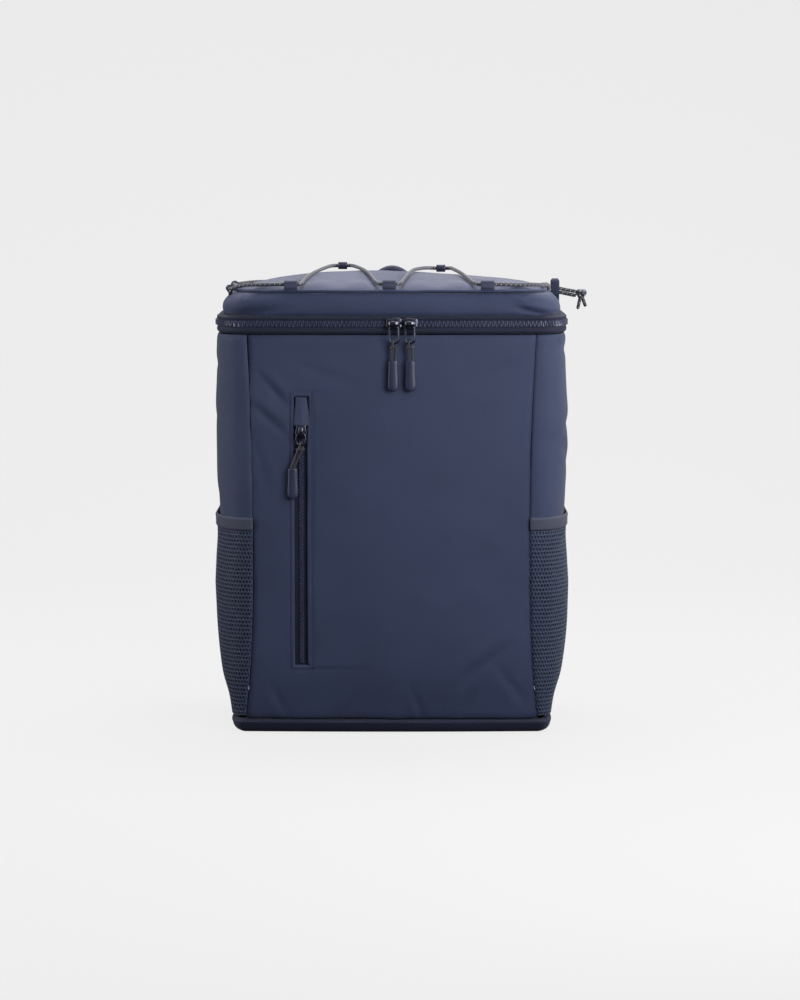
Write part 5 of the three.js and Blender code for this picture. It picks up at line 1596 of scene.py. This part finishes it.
def build_net():
    tree, entry, out = new_tree(
        "open net",
        [
            ("Opening", "NodeSocketFloat", 0.6),
            ("Yarn", "NodeSocketFloat", 0.0006),
            ("Material", "NodeSocketMaterial", None),
        ],
    )
    cut = step(
        tree,
        "GeometryNodeExtrudeMesh",
        [("Mesh", entry.outputs["Geometry"]), ("Offset Scale", 0.0), ("Individual", True)],
    )
    shrunk = step(
        tree,
        "GeometryNodeScaleElements",
        [
            ("Geometry", cut.outputs["Mesh"]),
            ("Selection", cut.outputs["Top"]),
            ("Scale", entry.outputs["Opening"]),
        ],
    )
    opened = step(
        tree,
        "GeometryNodeDeleteGeometry",
        [("Geometry", shrunk.outputs[0]), ("Selection", cut.outputs["Top"])],
        domain="FACE",
    )
    joined_up = step(
        tree, "GeometryNodeMergeByDistance", [("Geometry", opened.outputs[0]), ("Distance", 0.00002)]
    )
    raised = step(
        tree,
        "GeometryNodeExtrudeMesh",
        [
            ("Mesh", joined_up.outputs[0]),
            ("Offset Scale", entry.outputs["Yarn"]),
            ("Individual", False),
        ],
    )
    under = step(tree, "GeometryNodeFlipFaces", [("Mesh", joined_up.outputs[0])])
    both = step(tree, "GeometryNodeJoinGeometry")
    tree.links.new(raised.outputs["Mesh"], both.inputs[0])
    tree.links.new(under.outputs[0], both.inputs[0])
    closed = step(tree, "GeometryNodeMergeByDistance", [("Geometry", both.outputs[0]), ("Distance", 0.00002)])
    return finish_tree(tree, entry, out, closed.outputs[0])


open_net = build_net()
CELL_WIDE, CELL_HIGH, CELL_TIP, CELL_FLANK = 2.7, 3.5, 2.15, 1.35


def net_cells(side):
    """Hexagons on the pocket's surface, with clean borders where it is sewn."""
    heights = np.linspace(BASE_HEIGHT + 0.6, POCKET_TOP - 0.4, 60)
    surface = np.array([pocket_ring(side, z, 0.0) for z in heights])
    sway = 1.1 * ripple(surface, 42, 51 + side, (1, 1, 0.5)) * np.sin(math.pi * np.linspace(0, 1, 160))
    surface = surface + grid_normals(surface)[..., :] * (sway * (heights[:, None] < 172))[..., None] * side
    length = float(np.linalg.norm(np.diff(surface[30], axis=0), axis=1).sum())
    columns, rows = round(length / CELL_WIDE), round((heights[-1] - heights[0]) / CELL_HIGH)
    points, faces, index = [], [], {}

    def corner(u, v):
        key = (round(u * 4), round(v * 20))
        if key not in index:
            s = min(max(u / columns, 0), 1) * 159
            t = min(max(v / (rows * CELL_HIGH), 0), 1) * 59
            i, j = min(int(t), 58), min(int(s), 158)
            a, b = t - i, s - j
            place = (surface[i, j] * (1 - b) + surface[i, j + 1] * b) * (1 - a) + (
                surface[i + 1, j] * (1 - b) + surface[i + 1, j + 1] * b
            ) * a
            index[key] = len(points)
            points.append(place)
        return index[key]

    for r in range(rows):
        for c in range(columns - r % 2):
            u, v = c + 0.5 + 0.5 * (r % 2), (r + 0.5) * CELL_HIGH
            ring = [
                (u, v - CELL_TIP), (u + 0.5, v - CELL_FLANK), (u + 0.5, v + CELL_FLANK),
                (u, v + CELL_TIP), (u - 0.5, v + CELL_FLANK), (u - 0.5, v - CELL_FLANK),
            ]
            loop = []
            for place in ring:
                k = corner(*place)
                if k not in loop:
                    loop.append(k)
            if len(loop) > 3:
                faces.append(loop if side > 0 else loop[::-1])
    return points, faces, length


for side, word in ((-1, "left"), (1, "right")):
    points, faces, length = net_cells(side)
    net = new_piece(f"net_{word}", points, faces, net_yarn)
    net = grown(f"net_{word}_yarn", net, open_net, net_yarn, Opening=0.6, Yarn=0.55 * MM)
    on_pack(net, "mesh_net", f"mesh_pocket_{word}")

# %% [markdown]
# ## The elastic bindings
# A knitted band folds over the net's upper edge. Its ribs run along it, and it pulls in a little between
# the seams.

# %% Bindings
BINDING_PROFILE = (
    (177.4, 0.5), (177.6, 1.25), (178.6, 1.75), (180.4, 1.45), (182.2, 1.75), (184.0, 1.5), (185.8, 1.8),
    (187.2, 1.6), (188.1, 0.9), (188.2, 0.2), (187.6, -0.05), (183, -0.05), (178.4, -0.05),
)
for side, word in ((-1, "left"), (1, "right")):
    rings = []
    for z, out in BINDING_PROFILE:
        ring = pocket_ring(side, z, out, 150)
        ring[:, 2] += 0.5 * np.sin(np.linspace(0, 9, 150)) * (z > 180) * 0.6
        rings.append(ring[::-1] if side < 0 else ring)
    rings = np.array(rings)
    rings = rings.transpose(1, 0, 2)[::-1 if side > 0 else 1]
    ends = [rings[0].mean(axis=0), rings[-1].mean(axis=0)]
    band = ring_piece(f"pocket_binding_{word}_knit", list(rings), ends, binding_knit)
    faces_outward(band)
    on_pack(band, "elastic_binding", f"pocket_binding_{word}")
    line = pocket_ring(side, 179.4, 1.75, 150)[2:-2]
    stitches(f"binding_stitches_{word}", [line], "elastic_binding", 2.4, 0.24)

# %% [markdown]
# ## The elastic cord
# The cord is one tube along its listed route. It runs through nine webbing tabs, and an overhand knot
# ties its two ends behind the right corner.

# %% The cord and its knot
CORD_ROUTE = (
    (164.3, 73.2, 371.6), (157, 72.6, 373.1), (151, 72, 374.3), (146.5, 72, 374.4), (141.2, 72, 374.5),
    (139.9, 69.3, 375), (140.4, 62, 376.1), (140.6, 52, 377.6), (139.4, 38, 379), (138.2, 15, 380.6),
    (137.2, -8, 382.4), (135.8, -22, 384.6), (133.6, -36, 385.8), (131, -45, 386.1), (127.5, -55, 386),
    (121, -65.5, 386.4), (110, -72.6, 386.6), (98, -76.4, 386.9), (89.1, -77.4, 387.2),
    (81.6, -77.4, 387.2), (74.1, -77.4, 387.3), (70.3, -73.5, 388.2), (66.5, -62, 390.9),
    (61.5, -42, 394.4), (57, -20, 396.6), (54, 5, 397.4), (52.9, 22, 397.6), (52.6, 31, 397.4),
    (50.9, 36.6, 397.2), (43.4, 36.6, 397.2), (36, 36.6, 397.3), (33.2, 30.5, 397.6), (30, 15, 398.1),
    (25, -2, 398.2), (18.5, -26, 397.4), (13.5, -48, 394), (9.6, -66, 389.8), (8, -73.4, 388.1),
    (5.5, -77.4, 387.5), (-2, -77.4, 387.5), (-9.5, -77.4, 387.5), (-12.4, -73, 388.3), (-16, -58, 391.6),
    (-20.5, -38, 395.6), (-27, -8, 398.4), (-32.5, 12, 399.7), (-34.6, 21, 399.9), (-36, 26.6, 399.9),
    (-43.4, 26.6, 399.9), (-50.9, 26.6, 399.8), (-54, 19.5, 399.6), (-57.5, 4, 398.9), (-63, -17, 397.2),
    (-71, -45, 393.6), (-75, -62, 390.3), (-76.4, -72, 388.1), (-78.1, -77.4, 387.3),
    (-85.6, -77.4, 387.2), (-93.1, -77.4, 387.2), (-104, -76.2, 386.9), (-113.5, -72.6, 386.7),
    (-121, -68.2, 386.4), (-127.5, -64.5, 385.7), (-132.8, -61, 384.3), (-138.1, -56.6, 382.6),
    (-139.1, -49.2, 382.6), (-140.1, -41.8, 382.6), (-138, -33, 382.3), (-136.6, -20, 382),
    (-136.5, 0, 382), (-136.8, 20, 382.1), (-138.6, 31, 382.4), (-140, 37.5, 382.6), (-140, 45, 382.6),
    (-140, 52.5, 382.6), (-137.6, 61, 382.6), (-133.5, 69.5, 382.8), (-127.2, 81, 383.2),
    (-115.2, 89, 383.4), (-101, 90, 383.3), (-60, 90, 383.4), (0, 90, 383.4), (60, 90, 383.3),
    (72, 91, 383), (82.5, 93.5, 382.6), (90, 93.5, 382.6), (97.5, 93.5, 382.6), (106, 91.6, 382.3),
    (114.5, 88.4, 381.9), (122.5, 83.6, 381.3), (129.5, 78.6, 380.5), (135, 75, 379.5),
    (139.2, 72.7, 378.6), (142.5, 72, 378.2), (146.5, 72, 378.1), (151, 72, 377.8), (157, 72.2, 376.6),
    (164.3, 72.6, 375.3),
)
KNOT_AT = np.array((170.2, 73.5, 373.2))
cord_line, cord_radius = rounded_ends(smooth_route(CORD_ROUTE, 5), 1.6, 3)
cord = tube("bungee_cord_braid", cord_line, cord_radius, cord_braid, 12)
on_pack(cord, "cord_braid", "bungee_cord")
cord_length = float(np.linalg.norm(np.diff(cord_line, axis=0), axis=1).sum())
print("cord:", round(cord_length), "mm along its route")

turns = np.linspace(0, 2 * math.pi, 40, endpoint=False)
trefoil = np.stack(
    [
        (np.sin(turns) + 2 * np.sin(2 * turns)) * 1.08,
        (np.cos(turns) - 2 * np.cos(2 * turns)) * 0.9,
        -np.sin(3 * turns) * 1.75,
    ],
    axis=1,
)
trefoil = trefoil[:, [0, 2, 1]] * (1.0, 1.0, 1.05)
knot = tube("knot", trefoil + KNOT_AT, 2.15, cord_braid, 10, True)
tails = []
for end in ((-2.8, -1.5, -12.5), (3.7, 0.5, -10.4)):
    path = smooth_route([KNOT_AT + np.array(end) * s + (0, 0, 0) for s in (0.12, 0.4, 0.7, 1.0)], 4)
    line, radius = rounded_ends(path, 1.55, 3)
    tails.append(tube("tail", line, radius, cord_braid, 10))
knot = joined("bungee_knot_braid", [knot] + tails)
on_pack(knot, "cord_braid", "bungee_knot")

# %% [markdown]
# ## Webbing tabs
# Each tab is a short webbing strap, folded over the cord and sewn into the seam. Its two ends lie on each
# other below the eye. It is drawn as one strip that runs up, round the eye and down again.

# %% Tabs
TABS = (
    ("front_left", (-85.59, -77.36, 387.25), 0, 60),
    ("front_middle", (-1.98, -77.36, 387.50), 0, 60),
    ("front_right", (81.64, -77.36, 387.26), 0, 60),
    ("corner_left", (-139.09, -49.15, 382.60), -82, -5),
    ("top_left", (-43.45, 26.59, 399.89), 0, -60),
    ("top_right", (43.45, 36.64, 397.18), 0, -60),
    ("back_left", (-140.00, 44.99, 382.60), -90, -5),
    ("back_right", (90.00, 93.47, 382.60), 180, -5),
)
EYE, TAB_CLOTH = 2.4, 1.3


def tab_strip(width, slot, tail, eye=EYE):
    """A folded strip round an eye at the origin. It hangs along -Z and its eye runs along X."""
    middle = eye + TAB_CLOTH / 2
    turn = np.radians(np.linspace(0, 180, 15))
    over = [(0, -middle * math.cos(t), middle * math.sin(t)) for t in turn]
    half = TAB_CLOTH / 2 + 0.08
    down = [(0, -middle * 0.96, -slot - 0.6), (0, -middle * 0.62, -slot - 2.0), (0, -half, -slot - 3.4)]
    down.append((0, -half, -slot - tail))
    path = down[::-1] + over + [(0, -y, z) for _, y, z in down]
    path = [path[0]] + smooth_route(path[1:-1], 2).tolist() + [path[-1]]
    widths = [width * (1 - 0.3 * max(0, point[2] / middle) ** 3) for point in path]
    rings = ribbon_rings(path, (1, 0, 0), widths, TAB_CLOTH, 0.12)
    made = ring_piece("tab", list(rings), [rings[0].mean(axis=0), rings[-1].mean(axis=0)], webbing_cloth)
    faces_outward(made)
    return made


for name, at, turn, lean in TABS:
    tab = tab_strip(8.0, 0, 4.4, 1.75) if name.startswith("top") else tab_strip(11.6, 0, 7.4, 1.9)
    tab.name = f"cord_tab_{name}_webbing"
    tab.data.transform(Matrix.Rotation(math.radians(-lean), 4, "X"))
    tab.data.transform(Matrix.Rotation(math.radians(turn), 4, "Z"))
    tab.data.transform(Matrix.Translation(Vector(at) * MM))
    on_pack(tab, "webbing", f"cord_tab_{name}")
low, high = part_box("cord_tab_side_right")
tab = tab_strip(7.8, 8.8, (high.z - low.z) / MM - 8.8 - EYE - TAB_CLOTH)
tab.name = "cord_tab_side_right_webbing"
tab.data.transform(Matrix.Translation(Vector((146.5, 72, high.z / MM - EYE - TAB_CLOTH)) * MM))
on_pack(tab, "webbing", "cord_tab_side_right")

# %% [markdown]
# ## The shoulder straps
# A strap is foam between two cloths, sewn along its edges. Its foam is the solid's own path, drawn a little
# thinner. Cloth with air pressure inside then swells it against its sewn edges, which gives the soft crown
# and the small wrinkles that a plain loft lacks.

# %% Strap forms
STRAP_WIDTH, STRAP_THICK, STRAP_REACH = 62, 13, 42
STRAP_SECTIONS = (
    (0.33, 0.9, 0.0, 1.0, 0.6), (0.33, 0.945, 0.1, 1.0, 0.8), (0.335, 0.965, 0.34, 1.02, 1.0),
    (0.35, 0.94, 0.6, 1.03, 1.0), (0.375, 0.885, 0.8, 1.04, 1.0), (0.41, 0.8, 0.94, 1.04, 1.0),
    (0.455, 0.69, 1.0, 1.02, 1.0), (0.5, 0.57, 0.96, 0.98, 1.0), (0.535, 0.46, 0.84, 0.9, 0.95),
    (0.555, 0.385, 0.7, 0.76, 0.8), (0.563, 0.35, 0.62, 0.56, 0.6),
)


def back_y(z):
    return float(body_section(min(z, BODY_TOP))[3])


def strap_path(side, steps=9):
    """Middles, widths and thicknesses along a strap, from its seam at the top to its foot."""
    rows = []
    for across, rise, behind, wide, thick in STRAP_SECTIONS:
        z, deep = rise * BODY_TOP, thick * STRAP_THICK
        y = back_y(z) + GAP + deep / 2 + behind * STRAP_REACH
        rows.append((side * across * BODY_WIDTH / 2, y, z, wide * STRAP_WIDTH, deep))
    rows = np.array(rows)
    middle = smooth_route(rows[:, :3], steps)
    at = np.linspace(0, len(rows) - 1, len(middle))
    sizes = [np.interp(at, range(len(rows)), rows[:, k]) for k in (3, 4)]
    return middle, sizes[0], sizes[1]


def strap_rings(side, shrink, count=44):
    middle, wide, deep = strap_path(side)
    along = np.gradient(middle, axis=0)
    along /= np.linalg.norm(along, axis=1, keepdims=True)
    across = np.array((1.0, 0, 0)) - along * along[:, :1]
    across /= np.linalg.norm(across, axis=1, keepdims=True)
    out = np.cross(across, along)
    turns = np.linspace(0, 2 * np.pi, count, endpoint=False)
    c, s = np.cos(turns), np.sin(turns)
    u = np.sign(c) * np.abs(c) ** 0.35
    v = np.sign(s) * np.abs(s) ** 0.6 * (1 - 0.35 * np.abs(u) ** 6)
    rings = []
    for k in range(len(middle)):
        w, d = wide[k] / 2 - shrink, max(deep[k] / 2 - shrink, 1.2)
        rings.append(middle[k] + np.outer(u * w, across[k]) + np.outer(v * d, out[k]))
    return np.array(rings)


def swollen(made, pressure, cap):
    """Cloth with pressure inside swells the closed piece. Its edges stay where they are sewn."""
    bpy.context.view_layer.objects.active = made
    rebuilt = made.modifiers.new("even", "REMESH")
    rebuilt.mode = "VOXEL"
    rebuilt.voxel_size = 4.6 * MM
    plain_mesh(made)
    start = np.array([v.co for v in made.data.vertices])
    held = made.vertex_groups.new(name="sewn")
    middle, wide, _ = strap_path(1 if start[:, 0].mean() > 0 else -1)
    middle = middle * MM
    near = np.argmin(((start[:, None, :] - middle[None]) ** 2).sum(axis=2), axis=1)
    edge = np.abs(start[:, 0] - middle[near, 0]) > (wide[near] / 2 - 3.6) * MM
    ends = (near < 4) | (near > len(middle) - 4)
    held.add(np.nonzero(edge | ends)[0].tolist(), 1.0, "REPLACE")
    cloth = made.modifiers.new("swell", "CLOTH")
    cloth.settings.use_pressure = True
    cloth.settings.uniform_pressure_force = pressure
    cloth.settings.quality = 6
    cloth.settings.mass = 0.3
    cloth.settings.tension_stiffness = 12
    cloth.settings.compression_stiffness = 12
    cloth.settings.bending_stiffness = 0.6
    cloth.settings.vertex_group_mass = "sewn"
    cloth.settings.effector_weights.gravity = 0
    cloth.point_cache.frame_start, cloth.point_cache.frame_end = 1, 20
    for number in range(1, 21):
        scene.frame_set(number)
    plain_mesh(made)
    scene.frame_set(1)
    moved = np.array([v.co for v in made.data.vertices]) - start
    reach = np.linalg.norm(moved, axis=1, keepdims=True)
    moved *= np.minimum(1, cap * MM / np.maximum(reach, 1e-9))
    made.data.vertices.foreach_set("co", (start + moved).ravel())
    made.vertex_groups.clear()
    print(made.name, "swelled by up to", round(float(reach.max()) / MM, 1), "mm")
    return made


def strap_uv(made, side):
    """A UV map in metres: across the strap and along it."""
    middle, _, _ = strap_path(side)
    middle = middle * MM
    run = np.concatenate([[0], np.cumsum(np.linalg.norm(np.diff(middle, axis=0), axis=1))])
    at = np.array([v.co for v in made.data.vertices])
    near = np.argmin(((at[:, None, :] - middle[None]) ** 2).sum(axis=2), axis=1)
    flat = np.stack([at[:, 0] - middle[near, 0], run[near]], axis=1)
    layer = made.data.uv_layers.new(name="cloth")
    corner = np.array([loop.vertex_index for loop in made.data.loops])
    layer.data.foreach_set("uv", flat[corner].astype(np.float32).ravel())


# %% The two padded straps
for side, word in ((-1, "left"), (1, "right")):
    name = f"shoulder_strap_{word}_foam"
    rings = strap_rings(side, 0.9)
    strap = ring_piece(name, list(rings), [rings[0].mean(axis=0), rings[-1].mean(axis=0)], shell_cloth)
    faces_outward(strap)
    strap.data.uv_layers.remove(strap.data.uv_layers[0])
    swollen(strap, 3.0, 1.6)
    smooth = strap.modifiers.new("soft", "SUBSURF")
    smooth.levels = smooth.render_levels = 1
    plain_mesh(strap)
    strap.data.polygons.foreach_set("use_smooth", [True] * len(strap.data.polygons))
    strap_uv(strap, side)
    on_pack(strap, "shell_cloth", f"shoulder_strap_{word}")
    rings = strap_rings(side, 0.9)
    edge_lines = []
    for c in (0, 22):
        line = rings[6:-4, c]
        inward = rings[6:-4].mean(axis=1) - line
        inward /= np.linalg.norm(inward, axis=1, keepdims=True)
        edge_lines.append(line - 0.75 * inward)
    piped = [
        tube("edge", line, 1.5, webbing_cloth, 8)
        for line in [rounded_ends(e, 1.5, 2)[0][2:-2] for e in edge_lines]
    ]
    piped = joined(f"shoulder_strap_edges_{word}", piped)
    on_pack(piped, "shell_cloth")

# %% [markdown]
# ## Webbing, buckles and anchors
# The lower webbing is woven flat and has thick edges. It runs behind the ladder buckle and is sewn under a
# square patch with a box of stitches.

# %% The lower webbing
WEBBING_WIDTH, WEBBING_THICK, WEBBING_SAG = 25, 2.4, 4
ANCHOR_ACROSS, ANCHOR_Z, ANCHOR_SIZE, ANCHOR_THICK = 0.59, 46, 34, 3
BUCKLE_WIDTH, BUCKLE_HEIGHT = 34, 26
anchor_y = back_y(ANCHOR_Z + ANCHOR_SIZE / 2) + GAP + ANCHOR_THICK
for side, word in ((-1, "left"), (1, "right")):
    across, rise, behind, _, thick = STRAP_SECTIONS[-1]
    top = np.array(
        (
            side * across * BODY_WIDTH / 2,
            back_y(rise * BODY_TOP) + GAP + thick * STRAP_THICK / 2 + behind * STRAP_REACH,
            rise * BODY_TOP,
        )
    )
    foot = np.array((side * ANCHOR_ACROSS * BODY_WIDTH / 2, anchor_y + GAP + WEBBING_THICK / 2, ANCHOR_Z))
    fall = (foot - top) / np.linalg.norm(foot - top)
    start = top + fall * 3 * GAP
    path = []
    for s in np.linspace(0, 1, 30):
        path.append(start + (foot - start) * s - (0, WEBBING_SAG * math.sin(math.pi * s), 0))
    path += [foot - (0, 0, ANCHOR_SIZE / 3 * s) for s in (0.33, 0.66, 1)]
    name = f"strap_webbing_{word}_woven"
    band = ribbon(name, path, (1, 0, 0), WEBBING_WIDTH, WEBBING_THICK, webbing_cloth, 0.1)
    on_pack(band, "webbing", f"strap_webbing_{word}")

    outline = [
        (x * BUCKLE_WIDTH / 2 + dx, z * BUCKLE_HEIGHT / 2 + dz)
        for x, z, dx, dz in (
            (-1, -1, 0, 3), (-1, -1, 1, 1), (-1, -1, 3, 0), (1, -1, -3, 0), (1, -1, -1, 1), (1, -1, 0, 3),
            (1, 1, 0, -3), (1, 1, -1, -1), (1, 1, -3, 0), (-1, 1, 3, 0), (-1, 1, 1, -1), (-1, 1, 0, -3),
        )
    ]
    bars = []
    for z, tall in ((-10.8, 4.4), (0, 4.6), (10.8, 4.4)):
        edge = [(-16, z - tall / 2), (16, z - tall / 2), (16, z + tall / 2), (-16, z + tall / 2)]
        bars.append(slab("bar", edge, -2.0, 2.0, buckle_plastic, 1.0, 3))
    for x in (-15.3, 15.3):
        edge = [(x - 1.7, -13), (x + 1.7, -13), (x + 1.7, 13), (x - 1.7, 13)]
        bars.append(slab("bar", edge, -2.0, 2.0, buckle_plastic, 0.9, 3))
    buckle = joined(f"ladder_buckle_{word}_moulded", bars)
    low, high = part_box(f"ladder_buckle_{word}")
    slope = foot - top
    tilt = math.degrees(math.atan2(-slope[1], -slope[2]))
    placed(buckle, tuple((low + high) / 2 / MM), 0, -tilt)
    on_pack(buckle, "buckle_plastic", f"ladder_buckle_{word}")

    patch_x = np.linspace(-17, 17, 21)
    patch_rows = []
    for z in np.linspace(-17, 17, 21):
        dome = 0.5 * (1 - (np.abs(patch_x) / 17) ** 6) * (1 - (abs(z) / 17) ** 6)
        y = np.full(21, anchor_y - 0.55) + dome
        patch_rows.append(np.column_stack([foot[0] - patch_x, y, ANCHOR_Z + np.full(21, z)]))
    patch = cloth_shell(f"strap_anchor_{word}_patch", np.array(patch_rows), 2.2, webbing_cloth)
    on_pack(patch, "webbing", f"strap_anchor_{word}")
    y = anchor_y + 0.08
    box = [(-14.5, -14.5), (14.5, -14.5), (14.5, 14.5), (-14.5, 14.5), (-14.5, -14.5)]
    lines = [[(foot[0] + x, y, ANCHOR_Z + z) for x, z in box]]
    box = 14.5
    for s in (-box, box):
        lines.append([(foot[0] - s, y, ANCHOR_Z - box), (foot[0] + s, y, ANCHOR_Z + box)])
    stitches(f"anchor_stitches_{word}", lines, "webbing", 2.6, 0.28)

# %% [markdown]
# ## The grab handle
# Webbing lies flat on the back, where it is sewn, and is folded into a round grip over the top.

# %% Handle
HANDLE_WIDTH, HANDLE_GRIP, HANDLE_SPAN, HANDLE_LEG, HANDLE_RISE = 24, 11, 50, 34, 36
HANDLE_SECTIONS = (
    (1.0, 0.0, 1.0, 0.25), (1.0, 0.4, 0.95, 0.3), (0.95, 0.56, 0.7, 0.6), (0.8, 0.71, 0.46, 0.95),
    (0.52, 0.84, 0.38, 1.0), (0.27, 0.91, 0.36, 1.0), (0.0, 0.935, 0.36, 1.0),
)
low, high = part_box("grab_handle")
rows = []
for across, rise, wide, deep in HANDLE_SECTIONS:
    rows.append((across * HANDLE_SPAN / 2, rise, wide * HANDLE_WIDTH, deep * HANDLE_GRIP))
rows = np.array(rows + [(-x, r, w, d) for x, r, w, d in rows[-2::-1]])
handle_y = low.y / MM
middle = np.column_stack(
    [rows[:, 0], handle_y + rows[:, 3] / 2, LID_BASE - HANDLE_LEG + rows[:, 1] * (HANDLE_LEG + HANDLE_RISE)]
)
line = smooth_route(middle, 8)
at = np.linspace(0, len(rows) - 1, len(line))
wide, deep = (np.interp(at, range(len(rows)), rows[:, k]) for k in (2, 3))
along = np.gradient(line, axis=0)
along /= np.linalg.norm(along, axis=1, keepdims=True)
across = np.cross(along, (0, 1.0, 0))
across /= np.linalg.norm(across, axis=1, keepdims=True)
out = np.cross(across, along)
turns = np.linspace(0, 2 * np.pi, 32, endpoint=False)
c, s = np.cos(turns), np.sin(turns)
rings = []
for k in range(len(line)):
    square = 0.35 + 0.5 * min(1, deep[k] / HANDLE_GRIP)
    u = np.sign(c) * np.abs(c) ** square * wide[k] / 2
    v = np.sign(s) * np.abs(s) ** square * deep[k] / 2
    rings.append(line[k] + np.outer(u, across[k]) + np.outer(v, out[k]))
handle = ring_piece("grab_handle_webbing", rings, [line[0], line[-1]], webbing_cloth)
faces_outward(handle)
on_pack(handle, "webbing", "grab_handle")
lines = []
for side in (-1, 1):
    x, y, z = side * HANDLE_SPAN / 2, handle_y + 0.25 * HANDLE_GRIP + 0.1, LID_BASE - HANDLE_LEG
    box = [(-9.5, 3), (9.5, 3), (9.5, 22), (-9.5, 22), (-9.5, 3)]
    lines.append([(x + a, y + 0.02 * b, z + b) for a, b in box])
    lines += [[(x - a * 9.5, y, z + 3), (x + a * 9.5, y + 0.4, z + 22)] for a in (-1, 1)]
stitches("handle_stitches", lines, "webbing", 2.6, 0.28)

# %% [markdown]
# ## Floor, light and camera view
# The photograph is lit softly from all sides, with a stronger light from the upper right. A pale sweep
# stands under and behind the backpack.

# %% Sweep and lights
def build_sweep():
    material = bpy.data.materials.new("sweep")
    material.use_nodes = True
    shader = material.node_tree.nodes["Principled BSDF"]
    shader.inputs["Base Color"].default_value = (0.05, 0.05, 0.05, 1)
    shader.inputs["Roughness"].default_value = 1.0
    shader.inputs["Specular IOR Level"].default_value = 0.0
    shader.inputs["Emission Color"].default_value = (0.8, 0.8, 0.8, 1)
    shader.inputs["Emission Strength"].default_value = 1.0
    return material


profile = [(-3.2, -0.0005), (0.9, -0.0005)]
profile += [(0.9 + 0.9 * math.sin(t), 0.9 - 0.9005 * math.cos(t)) for t in np.linspace(0.1, math.pi / 2, 12)]
profile += [(1.8, 3.4)]
points = [(x, y, z) for y, z in profile for x in (-3.2, 3.2)]
faces = [(2 * k, 2 * k + 1, 2 * k + 3, 2 * k + 2) for k in range(len(profile) - 1)]
sweep = new_piece("sweep", np.array(points) / MM, faces, build_sweep())
sweep.visible_diffuse = False
sweep.visible_glossy = False


def area_light(name, place, target, width, height, power, color=(1, 1, 1)):
    data = bpy.data.lights.new(name, "AREA")
    data.shape = "RECTANGLE"
    data.size, data.size_y, data.energy, data.color = width, height, power, color
    made = bpy.data.objects.new(name, data)
    made.location = place
    made.rotation_euler = (Vector(target) - Vector(place)).to_track_quat("-Z", "Y").to_euler()
    scene.collection.objects.link(made)
    return made


area_light("key", (0.45, -0.72, 0.5), (0.06, 0, 0.2), 0.45, 0.45, 6.5, (1.0, 0.99, 0.98))
area_light("left", (-1.2, -0.1, 0.55), (0, 0, 0.22), 0.7, 1.0, 10, (0.98, 0.98, 1.0))
area_light("right", (1.2, 0.0, 0.55), (0, 0, 0.22), 0.7, 1.0, 8, (0.98, 0.98, 1.0))
area_light("top", (0.12, 0.45, 1.45), (0, 0, 0.36), 1.2, 0.6, 22)

world = bpy.data.worlds.new("room")
world.use_nodes = True
sky = world.node_tree.nodes["Background"]
sky.inputs["Color"].default_value = (0.95, 0.97, 1.0, 1)
height = world.node_tree.nodes.new("ShaderNodeSeparateXYZ")
where = world.node_tree.nodes.new("ShaderNodeTexCoord")
world.node_tree.links.new(where.outputs["Generated"], height.inputs[0])
rise = world.node_tree.nodes.new("ShaderNodeMapRange")
rise.inputs["From Min"].default_value = -0.4
rise.inputs["From Max"].default_value = 1.0
rise.inputs["To Min"].default_value = 0.06
rise.inputs["To Max"].default_value = 0.5
world.node_tree.links.new(height.outputs["Z"], rise.inputs["Value"])
world.node_tree.links.new(rise.outputs["Result"], sky.inputs["Strength"])
scene.world = world
scene.view_settings.view_transform = "Standard"

# %% [markdown]
# ## Sizes, and the end
# A helper gives a box's corners rounded to five places.

# %% A helper for a box's corners
def corners(pair):
    return [[round(float(v), 5) for v in corner] for corner in pair]
